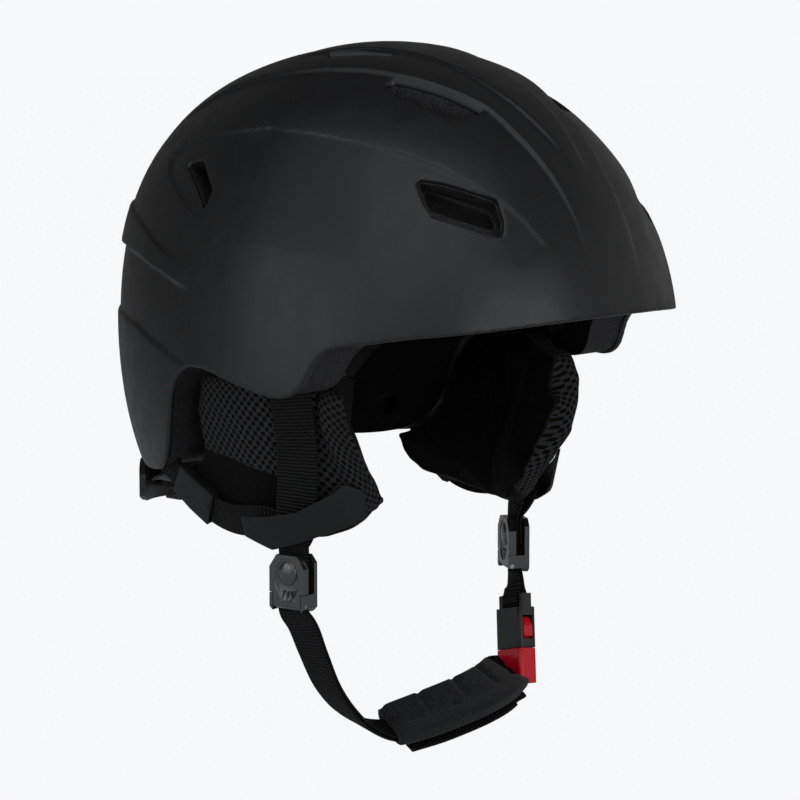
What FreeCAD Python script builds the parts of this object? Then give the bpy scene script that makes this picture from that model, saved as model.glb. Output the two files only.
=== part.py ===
"""Ski helmet as an assembly of separate parts, in millimetres.

The origin is the centre of the wearer's head.  The front of the helmet faces -Y,
up is +Z and the wearer's right is -X.  Pieces of the right side are modelled and
then mirrored, apart from the strap divider and buckle, which are the same hand on both sides.
"""
import FreeCAD
import Part
import Sketcher
import math
import os
from FreeCAD import Placement, Rotation, Vector

document = FreeCAD.newDocument("SkiHelmet")
sheet = document.addObject("Spreadsheet::Sheet", "Sizes")

# ---------------------------------------------------------------------------
# Driving sizes
# ---------------------------------------------------------------------------
SIZES = {
    # shell: reach from the fan axis, by angle from the front over the crown
    "fan_drop": 14.0,
    "reach_brow": 129.0,
    "reach_forehead": 143.1,
    "reach_front_crown": 148.9,
    "reach_crown": 152.6,
    "reach_rear_crown": 158.1,
    "reach_occiput": 166.3,
    "reach_rear": 155.3,
    "reach_nape": 142.4,
    "reach_nape_edge": 131.6,
    "reach_nape_end": 120.0,
    "shell_half_width": 110.9,
    "shell_roundness": 0.9025,
    "shell_front_taper": 0.035,
    "shell_end_taper": 0.081,
    "shell_wall": 2.6,
    # head cavity inside the liner, by the same angles
    "cavity_brow": 106.0,
    "cavity_forehead": 113.0,
    "cavity_front_crown": 121.0,
    "cavity_crown": 127.0,
    "cavity_rear_crown": 127.0,
    "cavity_occiput": 125.0,
    "cavity_rear": 121.0,
    "cavity_nape": 114.0,
    "cavity_nape_edge": 105.0,
    "cavity_nape_end": 99.0,
    "cavity_half_width": 87.0,
    "liner_gap": 0.2,
    "liner_edge_inset": 1.2,
    "pocket_depth": 9.0,
    "air_channel_depth": 5.0,
    "air_channel_width": 12.0,
    "air_channel_offset": 24.0,
    # raised and sunk forms of the shell
    "ridge_height": 1.7,
    "spine_height": 2.9,
    "ledge_height": 1.5,
    "panel_depth": 1.0,
    "channel_depth": 1.4,
    "fade_depth": 0.4,
    "vent_corner": 2.0,
    # clearances
    "soft_gap": 0.3,
    "slide_gap": 0.3,
    "slot_gap": 0.4,
    "bore_gap": 0.1,
    # comfort padding
    "comfort_thickness": 6.0,
    # ear pads
    "pad_reach": 99.0,
    "pad_slope": 0.33,
    "pad_bow_centre": 15.0,
    "pad_corner": 8.0,
    "cover_thickness": 9.0,
    "carrier_thickness": 1.2,
    "cushion_thickness": 9.0,
    "tongue_width": 30.0,
    "tongue_rise": 16.0,
    "tongue_centre": 17.0,
    "tongue_foot": 12.0,
    "tongue_foot_reach": 84.6,
    "tongue_top_reach": 81.0,
    "stud_radius": 3.0,
    "stud_length": 6.0,
    "stud_spacing": 16.0,
    "stud_height": 9.0,
    # webbing
    "front_strap_width": 18.0,
    "rear_strap_width": 15.0,
    "chin_strap_width": 15.0,
    "webbing_thickness": 1.6,
    "layer_gap": 0.3,
    "layer_rise": 0.6,
    "strap_exit": 14.5,
    "guide_lift_right": 2.15,
    "guide_lift_left": 3.0,
    "sleeve_wall": 1.2,
    "guide_thickness": 2.0,
    "rivet_radius": 2.0,
    "rivet_head_radius": 4.5,
    "rivet_head_thickness": 1.2,
    "front_rivet_length": 8.0,
    "rear_rivet_length": 3.4,
    # strap divider
    "divider_width": 18.4,
    "divider_height": 25.0,
    "divider_gap": 4.2,
    "divider_base": 2.3,
    "lever_thickness": 3.6,
    "barrel_length": 14.6,
    "dish_depth": 1.4,
    "dish_half_width": 6.3,
    "dish_half_height": 9.6,
    "bead_half_width": 4.8,
    "bead_half_height": 5.4,
    "bead_rise": 1.8,
    "bead_centre": 3.0,
    "dish_rib_width": 0.8,
    "webbing_in_divider": 14.4,
    "cheek_thickness": 1.6,
    "cheek_height": 8.0,
    "hinge_drop": 9.5,
    "hinge_pin_radius": 1.0,
    # side-release buckle
    "buckle_width": 23.0,
    "buckle_thickness": 9.0,
    "buckle_wall": 1.6,
    "buckle_corner": 1.8,
    "female_length": 19.0,
    "bar_radius": 1.8,
    "bar_cheek": 3.2,
    "male_length": 16.0,
    "prong_width": 2.0,
    "prong_depth": 4.6,
    "prong_length": 14.5,
    "prong_offset": 8.2,
    "prong_root": 2.5,
    "head_start": 5.0,
    "head_proud": 0.8,
    "window_start": 4.0,
    "window_length": 11.0,
    "guide_rib_width": 3.0,
    "guide_rib_length": 15.0,
    # chin pad
    "chin_pad_width": 33.0,
    "chin_pad_thickness": 9.0,
    "chin_flap_width": 18.0,
    "chin_flap_thickness": 1.6,
    # fit system
    "dial_height": -64.0,
    "dial_radius": 15.0,
    "dial_thickness": 8.0,
    "dial_grip_radius": 1.8,
    "dial_shaft_radius": 3.2,
    "gear_module": 1.0,
    "gear_teeth": 10.0,
    "gear_thickness": 2.6,
    "gear_backlash": 0.3,
    "gear_addendum": 0.8,
    "gear_dedendum": 1.3,
    "rack_length": 46.0,
    "rack_overlap": 6.0,
    "rack_back": 2.4,
    "running_gap": 0.05,
    "dial_screw_radius": 1.5,
    "dial_screw_head_radius": 3.0,
    "dial_screw_head": 1.6,
    "dial_grips": 18.0,
    "cradle_back": 116.5,
    "cradle_wall": 2.5,
    "cradle_flat": 34.0,
    "cradle_half_width": 65.0,
    "cradle_wing_y": 98.0,
    "cradle_top": -49.0,
    "housing_half_width": 24.0,
    "housing_depth": 8.0,
    "housing_wall": 1.6,
    "cover_plate": 1.5,
    "hanger_offset": 25.0,
    "hanger_width": 9.0,
    "hanger_rise": 17.0,
    "arm_width": 11.0,
    "arm_thickness": 1.5,
    "nape_pad_thickness": 6.0,
}
for row, (alias, value) in enumerate(SIZES.items(), start=1):
    sheet.set("A%d" % row, alias)
    sheet.set("B%d" % row, str(value))
    sheet.setAlias("B%d" % row, alias)
document.recompute()

MID_PLANE = Vector(1, 0, 0)
PARTS = {}


def size(alias):
    """Return one driving size from the sheet."""
    return float(sheet.get(alias))


# ---------------------------------------------------------------------------
# Document helpers
# ---------------------------------------------------------------------------
def free_form(name, shape):
    """Add a shape that no parametric feature makes."""
    feature = document.addObject("Part::Feature", name)
    feature.Shape = shape
    return feature


def primitive(kind, name, **expressions):
    """Add a Part primitive whose properties follow expressions of the sheet."""
    feature = document.addObject("Part::" + kind, name)
    for property_name, expression in expressions.items():
        feature.setExpression(property_name.replace("__", "."), expression)
    return feature


def cut(name, base, tool):
    """Subtract tool from base."""
    feature = document.addObject("Part::Cut", name)
    feature.Base = base
    feature.Tool = tool
    return feature


def common(name, base, tool):
    """Keep what base and tool share."""
    feature = document.addObject("Part::Common", name)
    feature.Base = base
    feature.Tool = tool
    return feature


def fuse(name, shapes):
    """Join several features."""
    feature = document.addObject("Part::MultiFuse", name)
    feature.Shapes = shapes
    return feature


def mirrored(name, source):
    """Mirror a right-hand feature to the left side."""
    feature = document.addObject("Part::Mirroring", name)
    feature.Source = source
    feature.Base = Vector(0, 0, 0)
    feature.Normal = MID_PLANE
    return feature


def publish(node, feature, placement=None, pieces=1):
    """Name a feature as a node of so many pieces, and give its place where it has one."""
    feature.Label = node
    if placement is not None:
        feature.Placement = placement
    PARTS[node] = (feature, pieces)


def pair(stem, feature, pieces=1):
    """Publish a right-hand piece and its mirror image."""
    publish(stem + "_right", feature, pieces=pieces)
    publish(stem + "_left", mirrored(stem + "_left_mirror", feature), pieces=pieces)


def frame_placement(origin, across, upward):
    """Return the placement whose local X is across and local Z is upward."""
    return Placement(origin, Rotation(across, upward.cross(across), upward, "ZXY"))


# ---------------------------------------------------------------------------
# The helmet's two forms: shell and head cavity
# ---------------------------------------------------------------------------
FAN_ANGLES = (8.0, 40.0, 65.0, 90.0, 115.0, 140.0, 165.0, 185.0, 202.0, 218.0)
STATIONS = ("brow", "forehead", "front_crown", "crown", "rear_crown",
            "occiput", "rear", "nape", "nape_edge", "nape_end")
SECTION_ANGLES = (8, 22, 36, 52, 68, 84, 100, 114, 127, 140, 152, 164, 176, 188, 202, 218)
POLE_LATITUDE = 87.0
SECTION_STEPS = 16


def reach_curve(family):
    """Interpolate a family of reaches, so that the curve's parameter is the fan angle."""
    points = [Vector(angle, size("%s_%s" % (family, station)), 0)
              for angle, station in zip(FAN_ANGLES, STATIONS)]
    curve = Part.BSplineCurve()
    curve.interpolate(Points=points, Parameters=list(FAN_ANGLES))
    return curve


REACH = {family: reach_curve(family) for family in ("reach", "cavity")}
HALF_WIDTH = {"reach": "shell_half_width", "cavity": "cavity_half_width"}


def form_point(family, angle, latitude, inset=0.0):
    """Return a point of the shell's or the cavity's surface, moved inwards by inset."""
    reach = REACH[family].value(angle).y - inset
    half_width = size(HALF_WIDTH[family]) - inset
    power = size("shell_roundness")
    across = math.copysign(abs(math.sin(math.radians(latitude))) ** power, latitude)
    along = abs(math.cos(math.radians(latitude))) ** power
    y = -reach * along * math.cos(math.radians(angle))
    z = reach * along * math.sin(math.radians(angle)) - size("fan_drop")
    taper = 1 - size("shell_front_taper") * y / 100 - size("shell_end_taper") * (y / 100) ** 2
    return Vector(half_width * across * taper, y, z)


def form_normal(family, angle, latitude):
    """Return the outward normal of the form."""
    step = 0.5
    along = form_point(family, angle + step, latitude) - form_point(family, angle - step, latitude)
    across = form_point(family, angle, latitude + step) - form_point(family, angle, latitude - step)
    normal = along.cross(across)
    normal.normalize()
    outward = form_point(family, angle, latitude)
    return normal if normal.dot(outward) > 0 else normal * -1


def form_curve(family, angle, inset, backwards=False):
    """Return one cross curve of the form, in the fan plane at this angle.

    All cross curves share their parameters, so that a loft through them keeps few spans.
    """
    points = []
    for index in range(SECTION_STEPS + 1):
        latitude = POLE_LATITUDE * (2.0 * index / SECTION_STEPS - 1)
        amount = inset(angle, latitude) if callable(inset) else inset
        points.append(form_point(family, angle, latitude, amount))
    if backwards:
        points.reverse()
    curve = Part.BSplineCurve()
    curve.interpolate(Points=points, Parameters=[float(index) for index in range(len(points))])
    return curve.toShape()


def layer(outer, outer_inset, inner, inner_inset):
    """Loft the space between two forms, as a fan of closed crescents."""
    wires = []
    for angle in SECTION_ANGLES:
        top = form_curve(outer, angle, outer_inset)
        bottom = form_curve(inner, angle, inner_inset, backwards=True)
        top_start, top_end = top.Vertexes[0].Point, top.Vertexes[-1].Point
        bottom_start, bottom_end = bottom.Vertexes[0].Point, bottom.Vertexes[-1].Point
        wires.append(Part.Wire([top, Part.makeLine(top_end, bottom_start), bottom,
                                Part.makeLine(bottom_end, top_start)]))
    return Part.makeLoft(wires, True, False)


def smooth_step(value, start, end):
    """Rise smoothly from 0 at start to 1 at end."""
    share = min(1.0, max(0.0, (value - start) / float(end - start)))
    return share * share * (3 - 2 * share)


# ---------------------------------------------------------------------------
# Outlines and prisms
# ---------------------------------------------------------------------------
REACH_ACROSS = 140.0


def spline_wire(points, closed=True):
    """Return a smooth wire through points."""
    curve = Part.BSplineCurve()
    curve.interpolate(Points=points, PeriodicFlag=closed)
    return Part.Wire(curve.toShape())


def polygon_face(points, corner=0.0):
    """Return a flat face with straight sides and rounded corners."""
    face = Part.Face(Part.makePolygon(list(points) + [points[0]]))
    if corner:
        face = face.makeOffset2D(-corner).makeOffset2D(corner)
    return face


def side_prism(outline, corner=0.0, inset=0.0, start=-REACH_ACROSS, end=REACH_ACROSS):
    """Extrude an outline of (y, z) points across the helmet."""
    face = polygon_face([Vector(start, y, z) for y, z in outline], corner)
    if inset:
        face = face.makeOffset2D(-inset)
    return face.extrude(Vector(end - start, 0, 0))


def plan_prism(outline, bottom, top, corner=0.0):
    """Extrude an outline of (x, y) points upwards."""
    face = polygon_face([Vector(x, y, bottom) for x, y in outline], corner)
    return face.extrude(Vector(0, 0, top - bottom))


def both_sides(outline):
    """Close a right-hand (x, y) outline with its mirror image."""
    return list(outline) + [(-x, y) for x, y in reversed(outline)]


def window(outline, reach_out, reach_in, inset=0.0, corner=None):
    """Prism along the shell's normal through an outline of (angle, latitude) points."""
    centre_angle = sum(angle for angle, _ in outline) / len(outline)
    centre_latitude = sum(latitude for _, latitude in outline) / len(outline)
    normal = form_normal("reach", centre_angle, centre_latitude)
    centre = form_point("reach", centre_angle, centre_latitude) + normal * reach_out
    points = []
    for angle, latitude in outline:
        point = form_point("reach", angle, latitude)
        points.append(point - normal * (point - centre).dot(normal))
    face = polygon_face(points, size("vent_corner") if corner is None else corner)
    if inset:
        face = face.makeOffset2D(-inset)
    return face.extrude(normal * -(reach_out + reach_in))


# lower edge of the shell in side view, from the brow round the ear to the nape
SHELL_EDGE = ((-126, 29), (-100, 24.5), (-80, 22), (-62, 19), (-51, 16), (-45, 9), (-41, 1),
              (-34, -4), (-25, -4.5), (-14, -2.5), (1, 1), (16, 4), (28, 3), (35, -2),
              (40, -12), (42.5, -23), (47, -35), (57, -44), (77, -48), (104, -47.5), (136, -46))
EDGE_TOP = 170.0


def edge_points(inset):
    """Return the lower edge's points, each moved up along the edge's own normal."""
    points = [(SHELL_EDGE[0][0] - 30, SHELL_EDGE[0][1] + 6)] + list(SHELL_EDGE)
    points.append((SHELL_EDGE[-1][0] + 40, SHELL_EDGE[-1][1] + 2))
    moved = []
    for index, (y, z) in enumerate(points):
        before = points[max(index - 1, 0)]
        after = points[min(index + 1, len(points) - 1)]
        run = after[0] - before[0]
        rise = after[1] - before[1]
        length = math.hypot(run, rise)
        moved.append(Vector(-REACH_ACROSS, y - inset * rise / length, z + inset * run / length))
    return moved


def above_edge(inset):
    """Return everything above the shell's lower edge, raised by inset."""
    points = edge_points(inset)
    curve = Part.BSplineCurve()
    curve.interpolate(points)
    corners = [points[-1], Vector(-REACH_ACROSS, points[-1].y, EDGE_TOP),
               Vector(-REACH_ACROSS, points[0].y, EDGE_TOP), points[0]]
    edges = [curve.toShape()] + [Part.makeLine(a, b) for a, b in zip(corners, corners[1:])]
    return Part.Face(Part.Wire(edges)).extrude(Vector(2 * REACH_ACROSS, 0, 0))


# outlines seen from above, right-hand half, front to rear
RIDGE_OUTLINE = ((-14, -135), (-16, -112), (-18, -100), (-21, -85), (-22.5, -70), (-29, -54),
                 (-37, -31), (-43, -6), (-46.5, 20), (-45, 56), (-46, 80), (-43, 112))
SPINE_OUTLINE = ((-1, -112), (-4, -100), (-8, -85), (-10.5, -68), (-13, -45), (-17, -20),
                 (-22, 0), (-29, 18), (-32, 38), (-30, 52))
TOP_VENT = ((-38, -31), (-43.5, -30), (-46.5, -41), (-41, -64), (-31, -69.5), (-24, -70), (-30, -53))
CROWN_VENT = ((-21, -17), (-24, -16), (-29.5, -2), (-34, 13), (-29, 16), (-24, 0))
# outlines on the shell, in fan angle and latitude
SIDE_VENT = ((56, -35), (52, -31), (44, -23), (40, -24), (37, -26), (39, -29), (47, -37), (50, -37))
SIDE_SLOT = ((54.5, -34), (52, -32), (43.5, -24.6), (40.5, -25.2), (43, -28.5), (50, -35.2))
REAR_VENT = ((120, -44), (114, -45), (108, -53), (110, -57), (115, -51))
REAR_EXHAUST = ((147, -5), (147, -16), (153, -16), (153, -5))
# side view outlines in (y, z)
SIDE_PANEL = ((7, 50), (7, 55), (30, 66), (52, 75), (70, 83), (77, 90), (68, 97), (41, 102.5),
              (8, 106.5), (-21, 104.5), (-40, 102), (-59, 97.5), (-75, 92), (-86, 86), (-95, 80),
              (-100, 76), (-106, 70), (-114, 59), (-110, 46))
REAR_LEDGE = ((14, 33), (28, 37), (54, 43), (79, 48), (103, 50), (170, 50), (170, 70),
              (112, 67), (82, 61), (54, 52), (28, 42))
STRAP_CHANNEL = ((14, 32.8), (28, 36.8), (54, 42.8), (79, 47.8), (103, 49.8), (170, 49.8),
                 (170, 20), (103, 19), (76, 17), (48, 10), (29, 4), (20, 12))


def ridge_inset(height_name, start, full, fading, end):
    """Return the inset of a ridge that rises and fades along the fan angle."""
    def inset(angle, latitude):
        rise = smooth_step(angle, start, full) * (1 - smooth_step(angle, fading, end))
        return size("fade_depth") - (size(height_name) + size("fade_depth")) * rise
    return inset


def ledge_inset(angle, latitude):
    """The rear ledge fades out towards the ear."""
    y = form_point("reach", angle, latitude).y
    rise = smooth_step(y, 12, 60)
    return size("fade_depth") - (size("ledge_height") + size("fade_depth")) * rise


def panel_inset(angle, latitude):
    """The side panel is deepest under the crease and runs out lower down."""
    z = form_point("reach", angle, latitude).z
    return (size("panel_depth") + size("fade_depth")) * smooth_step(z, 46, 78) - size("fade_depth")


def channel_inset(angle, latitude):
    """The goggle strap channel runs out towards the ear."""
    y = form_point("reach", angle, latitude).y
    return (size("channel_depth") + size("fade_depth")) * smooth_step(y, 14, 55) - size("fade_depth")


PROUD = 6.0
CUTTER_TOP = -6.0
RIDGE_FLOOR = 42.0


def raised(name, inset, prism):
    """Return a raised form: a thin layer over the shell, inside a prism."""
    blank = free_form(name + "_layer", layer("reach", inset, "reach", size("shell_wall") / 2))
    return common(name, blank, free_form(name + "_outline", prism))


def sunk(name, inset, prism):
    """Return the cutter of a sunk form."""
    blank = free_form(name + "_layer", layer("reach", CUTTER_TOP, "reach", inset))
    return common(name, blank, free_form(name + "_outline", prism))


def mirrored_shapes(shape):
    """Return a shape and its mirror image as one compound."""
    return Part.makeCompound([shape, shape.mirror(Vector(0, 0, 0), MID_PLANE)])


def outer_shell():
    """Hard shell: trimmed crescent, stepped ridges, sunk panels and vents."""
    blank = free_form("shell_blank", layer("reach", 0.0, "reach", size("shell_wall")))
    ridge = raised("shell_ridge", ridge_inset("ridge_height", 24, 44, 118, 136),
                   plan_prism(both_sides(RIDGE_OUTLINE), RIDGE_FLOOR, EDGE_TOP))
    spine = raised("shell_spine", ridge_inset("spine_height", 36, 52, 96, 112),
                   plan_prism(both_sides(SPINE_OUTLINE), RIDGE_FLOOR, EDGE_TOP))
    ledge = raised("shell_ledge", ledge_inset, side_prism(REAR_LEDGE))
    panel = sunk("side_panel", panel_inset, side_prism(SIDE_PANEL))
    channel = sunk("strap_channel", channel_inset, side_prism(STRAP_CHANNEL))
    trimmed = common("shell_trimmed", blank, free_form("shell_trim", above_edge(0.0)))
    carved = cut("shell_carved", cut("shell_panelled", trimmed, panel), channel)
    built = fuse("shell_built", [carved, ridge, spine, ledge])
    vents = [plan_prism(TOP_VENT, 90, 160, size("vent_corner") / 2),
             plan_prism(CROWN_VENT, 100, 170, size("vent_corner") / 2),
             window(SIDE_VENT, PROUD, 12), window(REAR_VENT, PROUD, 12, corner=1.2),
             window(REAR_EXHAUST, PROUD, 12)]
    openings = free_form("shell_vents", mirrored_shapes(Part.makeCompound(vents)))
    publish("outer_shell", cut("shell_vented", built, openings))


LINER_OUT = size("shell_wall") + size("liner_gap")


def impact_liner(slots):
    """Foam liner with the head cavity, vent pockets, air channels and slots."""
    blank = free_form("liner_blank", layer("reach", LINER_OUT, "cavity", 0.0))
    edge = free_form("liner_trim", above_edge(size("liner_edge_inset")))
    trimmed = common("liner_trimmed", blank, edge)
    pocket_reach = size("shell_wall") + size("pocket_depth")
    pockets = [window(SIDE_VENT, PROUD, pocket_reach, 1.0), window(REAR_VENT, PROUD, 60, 0.6, 1.2),
               window(SIDE_SLOT, PROUD, 70, 0.0, 1.2), window(REAR_EXHAUST, PROUD, 70, 0.8)]
    floor = free_form("pocket_layer", layer("reach", CUTTER_TOP, "reach", pocket_reach))
    top_outline = free_form("top_pocket_outline", mirrored_shapes(Part.makeCompound(
        [plan_prism(TOP_VENT, 80, 170, 1.0), plan_prism(CROWN_VENT, 90, 170, 1.0)])))
    top_pockets = common("top_pockets", floor, top_outline)
    half = size("air_channel_width") / 2
    offset = size("air_channel_offset")
    lanes = [plan_prism(((x - half, -88), (x + half, -88), (x + half, 96), (x - half, 96)), 10, 140, 4)
             for x in (-offset, offset)]
    channel_layer = free_form("channel_layer", layer("cavity", -size("air_channel_depth"),
                                                      "cavity", 3.0))
    channels = common("air_channels", channel_layer,
                      free_form("channel_lanes", Part.makeCompound(lanes)))
    side_cuts = free_form("liner_pockets", mirrored_shapes(Part.makeCompound(pockets)))
    result = trimmed
    for index, tool in enumerate([side_cuts, top_pockets, channels] + slots):
        result = cut("liner_cut_%d" % index, result, tool)
    publish("impact_liner", result)


# ---------------------------------------------------------------------------
# Comfort padding
# ---------------------------------------------------------------------------
BROW_PAD = ((-140, 33), (-140, 52), (-62, 50), (-50, 42), (-50, 30), (-62, 24), (-85, 28))
SIDE_PAD = ((-34, 46), (-20, 66), (20, 70), (52, 58), (56, 44), (40, 36), (0, 34), (-26, 36))
CROWN_PAD = ((-15, -52), (-15, -16), (-50, -14), (-50, 14), (-15, 16), (-15, 62))


def comfort_pad(name, prism):
    """Return a soft pad lying inside the liner within a prism."""
    gap = size("soft_gap")
    blank = free_form(name + "_layer", layer("cavity", gap, "cavity", gap + size("comfort_thickness")))
    return common(name, blank, free_form(name + "_outline", prism))


def comfort_pads():
    """Brow, side and crown pads."""
    publish("brow_pad", comfort_pad("brow_pad_body", side_prism(BROW_PAD, 4, start=-74, end=74)))
    publish("crown_pad", comfort_pad("crown_pad_body", plan_prism(both_sides(CROWN_PAD), 60, 150, 5)))
    pair("side_pad", comfort_pad("side_pad_body", side_prism(SIDE_PAD, 6, start=-REACH_ACROSS, end=-40)))


# ---------------------------------------------------------------------------
# Ear pads
# ---------------------------------------------------------------------------
PAD_OUTLINE = ((36, 8), (46, -6), (54, -15), (61, -30), (63, -47), (56, -60), (42, -67), (20, -70),
               (-6, -73), (-20, -72), (-30, -64), (-36, -51), (-36.5, -35), (-34, -21), (-31, -8),
               (-28, 8))


def bow(y):
    """Return how far the ear pad curls inwards, away from its middle."""
    distance = y - size("pad_bow_centre")
    if distance > 0:
        return 0.002 * distance ** 2
    return 0.0045 * distance ** 2 - 0.000108 * distance ** 3


def pad_point(y, z, lift=0.0):
    """Return a point on the right ear pad's outer face, lifted outwards."""
    return Vector(-(size("pad_reach") + size("pad_slope") * z - bow(y) + lift), y, z)


def pad_normal(y):
    """Return the outward normal of the right ear pad."""
    slope = (bow(y + 0.5) - bow(y - 0.5))
    normal = Vector(-1, slope, -size("pad_slope"))
    normal.normalize()
    return normal


PAD_TOP = 20.0
PAD_BOTTOM = -90.0


def pad_slab(near, far):
    """Return the curved slab between two depths behind the ear pad's outer face."""
    rows = [70 - step * 7.5 for step in range(16)]
    outer = [pad_point(y, PAD_TOP, -near) for y in rows]
    inner = [pad_point(y, PAD_TOP, -far) for y in reversed(rows)]
    front = spline_wire(outer, False)
    back = spline_wire(inner, False)
    closing = [Part.makeLine(outer[-1], inner[0]), Part.makeLine(inner[-1], outer[0])]
    face = Part.Face(Part.Wire(front.Edges + [closing[0]] + back.Edges + [closing[1]]))
    return face.extrude(pad_point(0, PAD_BOTTOM) - pad_point(0, PAD_TOP))


def below_edge(gap):
    """Return everything below the shell's lower edge by a gap."""
    return above_edge(-gap)


def ear_pad_layer(name, near, far, inset):
    """Return one layer of the ear pad, inside its outline and below the shell's edge."""
    prism = free_form(name + "_outline", side_prism(PAD_OUTLINE, size("pad_corner"), inset, end=0.0))
    slab = free_form(name + "_slab", pad_slab(near, far))
    shaped = common(name + "_shaped", slab, prism)
    return cut(name, shaped, free_form(name + "_shell_side", below_edge(size("soft_gap") + 0.2)))


def tongue_shape(clearance):
    """Return the carrier's upright tongue, which leans inwards along the liner."""
    half = size("tongue_width") / 2 + clearance
    thickness = size("carrier_thickness") + 2 * clearance
    foot = -size("tongue_foot_reach") - clearance
    top = -size("tongue_top_reach") - clearance
    y = size("tongue_centre") - half
    points = [Vector(foot, y, -size("tongue_foot")), Vector(foot + thickness, y, -size("tongue_foot")),
              Vector(top + thickness, y, size("tongue_rise") + clearance),
              Vector(top, y, size("tongue_rise") + clearance)]
    return polygon_face(points).extrude(Vector(0, 2 * half, 0))


def stud(name, index, radius_expression, length_expression):
    """Return one snap stud along X, standing on the tongue's outer face."""
    feature = primitive("Cylinder", name, Radius=radius_expression, Height=length_expression)
    y = size("tongue_centre") + (index - 0.5) * size("stud_spacing")
    share = (size("stud_height") + size("tongue_foot")) / (size("tongue_rise") + size("tongue_foot"))
    lean = size("tongue_foot_reach") - size("tongue_top_reach")
    x = -size("tongue_foot_reach") + share * lean - lean / 9
    feature.Placement = Placement(Vector(x, y, size("stud_height")), Rotation(Vector(0, 1, 0), -90))
    return feature


def ear_pads():
    """Mesh cover, carrier plate with studs and fleece cushion of each ear pad."""
    gap = size("soft_gap")
    cover_end = size("cover_thickness")
    carrier_start = cover_end + gap
    carrier_end = carrier_start + size("carrier_thickness")
    cushion_start = carrier_end + gap
    pair("ear_pad_cover", ear_pad_layer("pad_cover", 0.0, cover_end, 0.0))
    plate = ear_pad_layer("pad_plate", carrier_start, carrier_end, 5.0)
    tongue = free_form("pad_tongue", tongue_shape(0.0))
    pair("ear_pad_carrier", fuse("pad_carrier", [plate, tongue]))
    cushion = ear_pad_layer("pad_cushion_body", cushion_start,
                            cushion_start + size("cushion_thickness"), 1.5)
    pair("ear_pad_cushion", cut("pad_cushion", cushion, free_form("cushion_notch", tongue_shape(gap))))
    studs = [stud("pad_stud_%d" % index, index, "Sizes.stud_radius", "Sizes.stud_length")
             for index in (0, 1)]
    pair("ear_pad_studs", fuse("pad_studs", studs), pieces=len(studs))
    sockets = [stud("stud_socket_%d" % index, index, "Sizes.stud_radius + Sizes.slot_gap",
                    "Sizes.stud_length + Sizes.slot_gap") for index in (0, 1)]
    right = fuse("stud_sockets", sockets)
    return [right, mirrored("stud_sockets_left", right)]


# ---------------------------------------------------------------------------
# Webbing
# ---------------------------------------------------------------------------
SQUARE_SECTION = ((-1.0, -1.0), (1.0, -1.0), (1.0, 1.0), (-1.0, 1.0))
PADDED_SECTION = ((-0.82, -1.0), (0.82, -1.0), (1.0, -0.4), (1.0, 0.4),
                  (0.82, 1.0), (-0.82, 1.0), (-1.0, 0.4), (-1.0, -0.4))


def webbing(path, width, thickness, widths=None, section=SQUARE_SECTION):
    """Loft flat webbing along a path of (centre, outward normal) pairs.

    widths, where given, holds the width at each point of the path.
    """
    wires = []
    for index, (centre, normal) in enumerate(path):
        ahead = path[min(index + 1, len(path) - 1)][0]
        behind = path[max(index - 1, 0)][0]
        tangent = ahead - behind
        tangent.normalize()
        across = normal.cross(tangent)
        across.normalize()
        upward = tangent.cross(across)
        here = widths[index] if widths else width
        corners = [centre + across * (side * here / 2) + upward * (lift * thickness / 2)
                   for side, lift in section]
        wires.append(Part.makePolygon(corners + [corners[0]]))
    return Part.makeLoft(wires, True, True)


def azimuth_normal(degrees):
    """Return the level direction at an azimuth, with -Y at 0 and +X at 90."""
    return Vector(math.sin(math.radians(degrees)), -math.cos(math.radians(degrees)), 0)


RIGHT_DIVIDER = (Vector(-76.2, -7.0, -90.1), azimuth_normal(-82))
# both dividers are the same hand, so the left one's lever faces inwards: its straps face the other way
LEFT_DIVIDER = (Vector(76.2, -2.6, -93.4), azimuth_normal(57))
# how many points of a strap's route lie in and just above the divider, and which ones the sleeve covers
POINTS_IN_DIVIDER = 3
SLEEVE_START = POINTS_IN_DIVIDER + 5
SLEEVE_END = SLEEVE_START + 3
# (y, z, layers of webbing up to this one) over the ear pad
FRONT_ROUTE = ((-20, 14, 1), (-19, 2, 1), (-18, -10, 1), (-16.5, -26, 1), (-14, -44, 1.6), (-11, -60, 2.4),
               (-9.5, -67, 2.6))
REAR_ROUTE = ((-4.5, -70.5, 1.0), (-0.5, -66, 1.0), (6, -64.3, 1.1), (14, -65, 1.2), (26, -65.5, 1.6),
              (38, -62.5, 1.8), (48, -56.5, 1.8), (57, -49.5, 1.8))
REAR_TOP = ((-84.5, 65, -41), (-84.5, 70, -31))


def flipped(vector, hand):
    """Mirror a vector to the left side where hand is 1."""
    return Vector(-vector.x * hand, vector.y, vector.z) if hand > 0 else vector


def strap_lift(layers):
    """Return how far a layer of webbing lies off the ear pad."""
    return size("soft_gap") + size("webbing_thickness") * (layers - 0.5) + size("layer_rise") * layers


def front_path(hand, divider):
    """Route of the front strap, from its anchor to the divider."""
    centre, facing = divider
    path = [(flipped(pad_point(y, z, strap_lift(layers)), hand), flipped(pad_normal(y), hand))
            for y, z, layers in FRONT_ROUTE]
    half_layer = (size("webbing_thickness") + size("layer_gap")) / 2
    stacked = centre + facing * half_layer
    exit_point = stacked + facing * size("layer_gap") + Vector(0, 0, size("strap_exit"))
    path.append((exit_point, facing))
    path.append((stacked + Vector(0, 0, size("divider_height") / 2), facing))
    path.append((stacked, facing))
    return path


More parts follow.
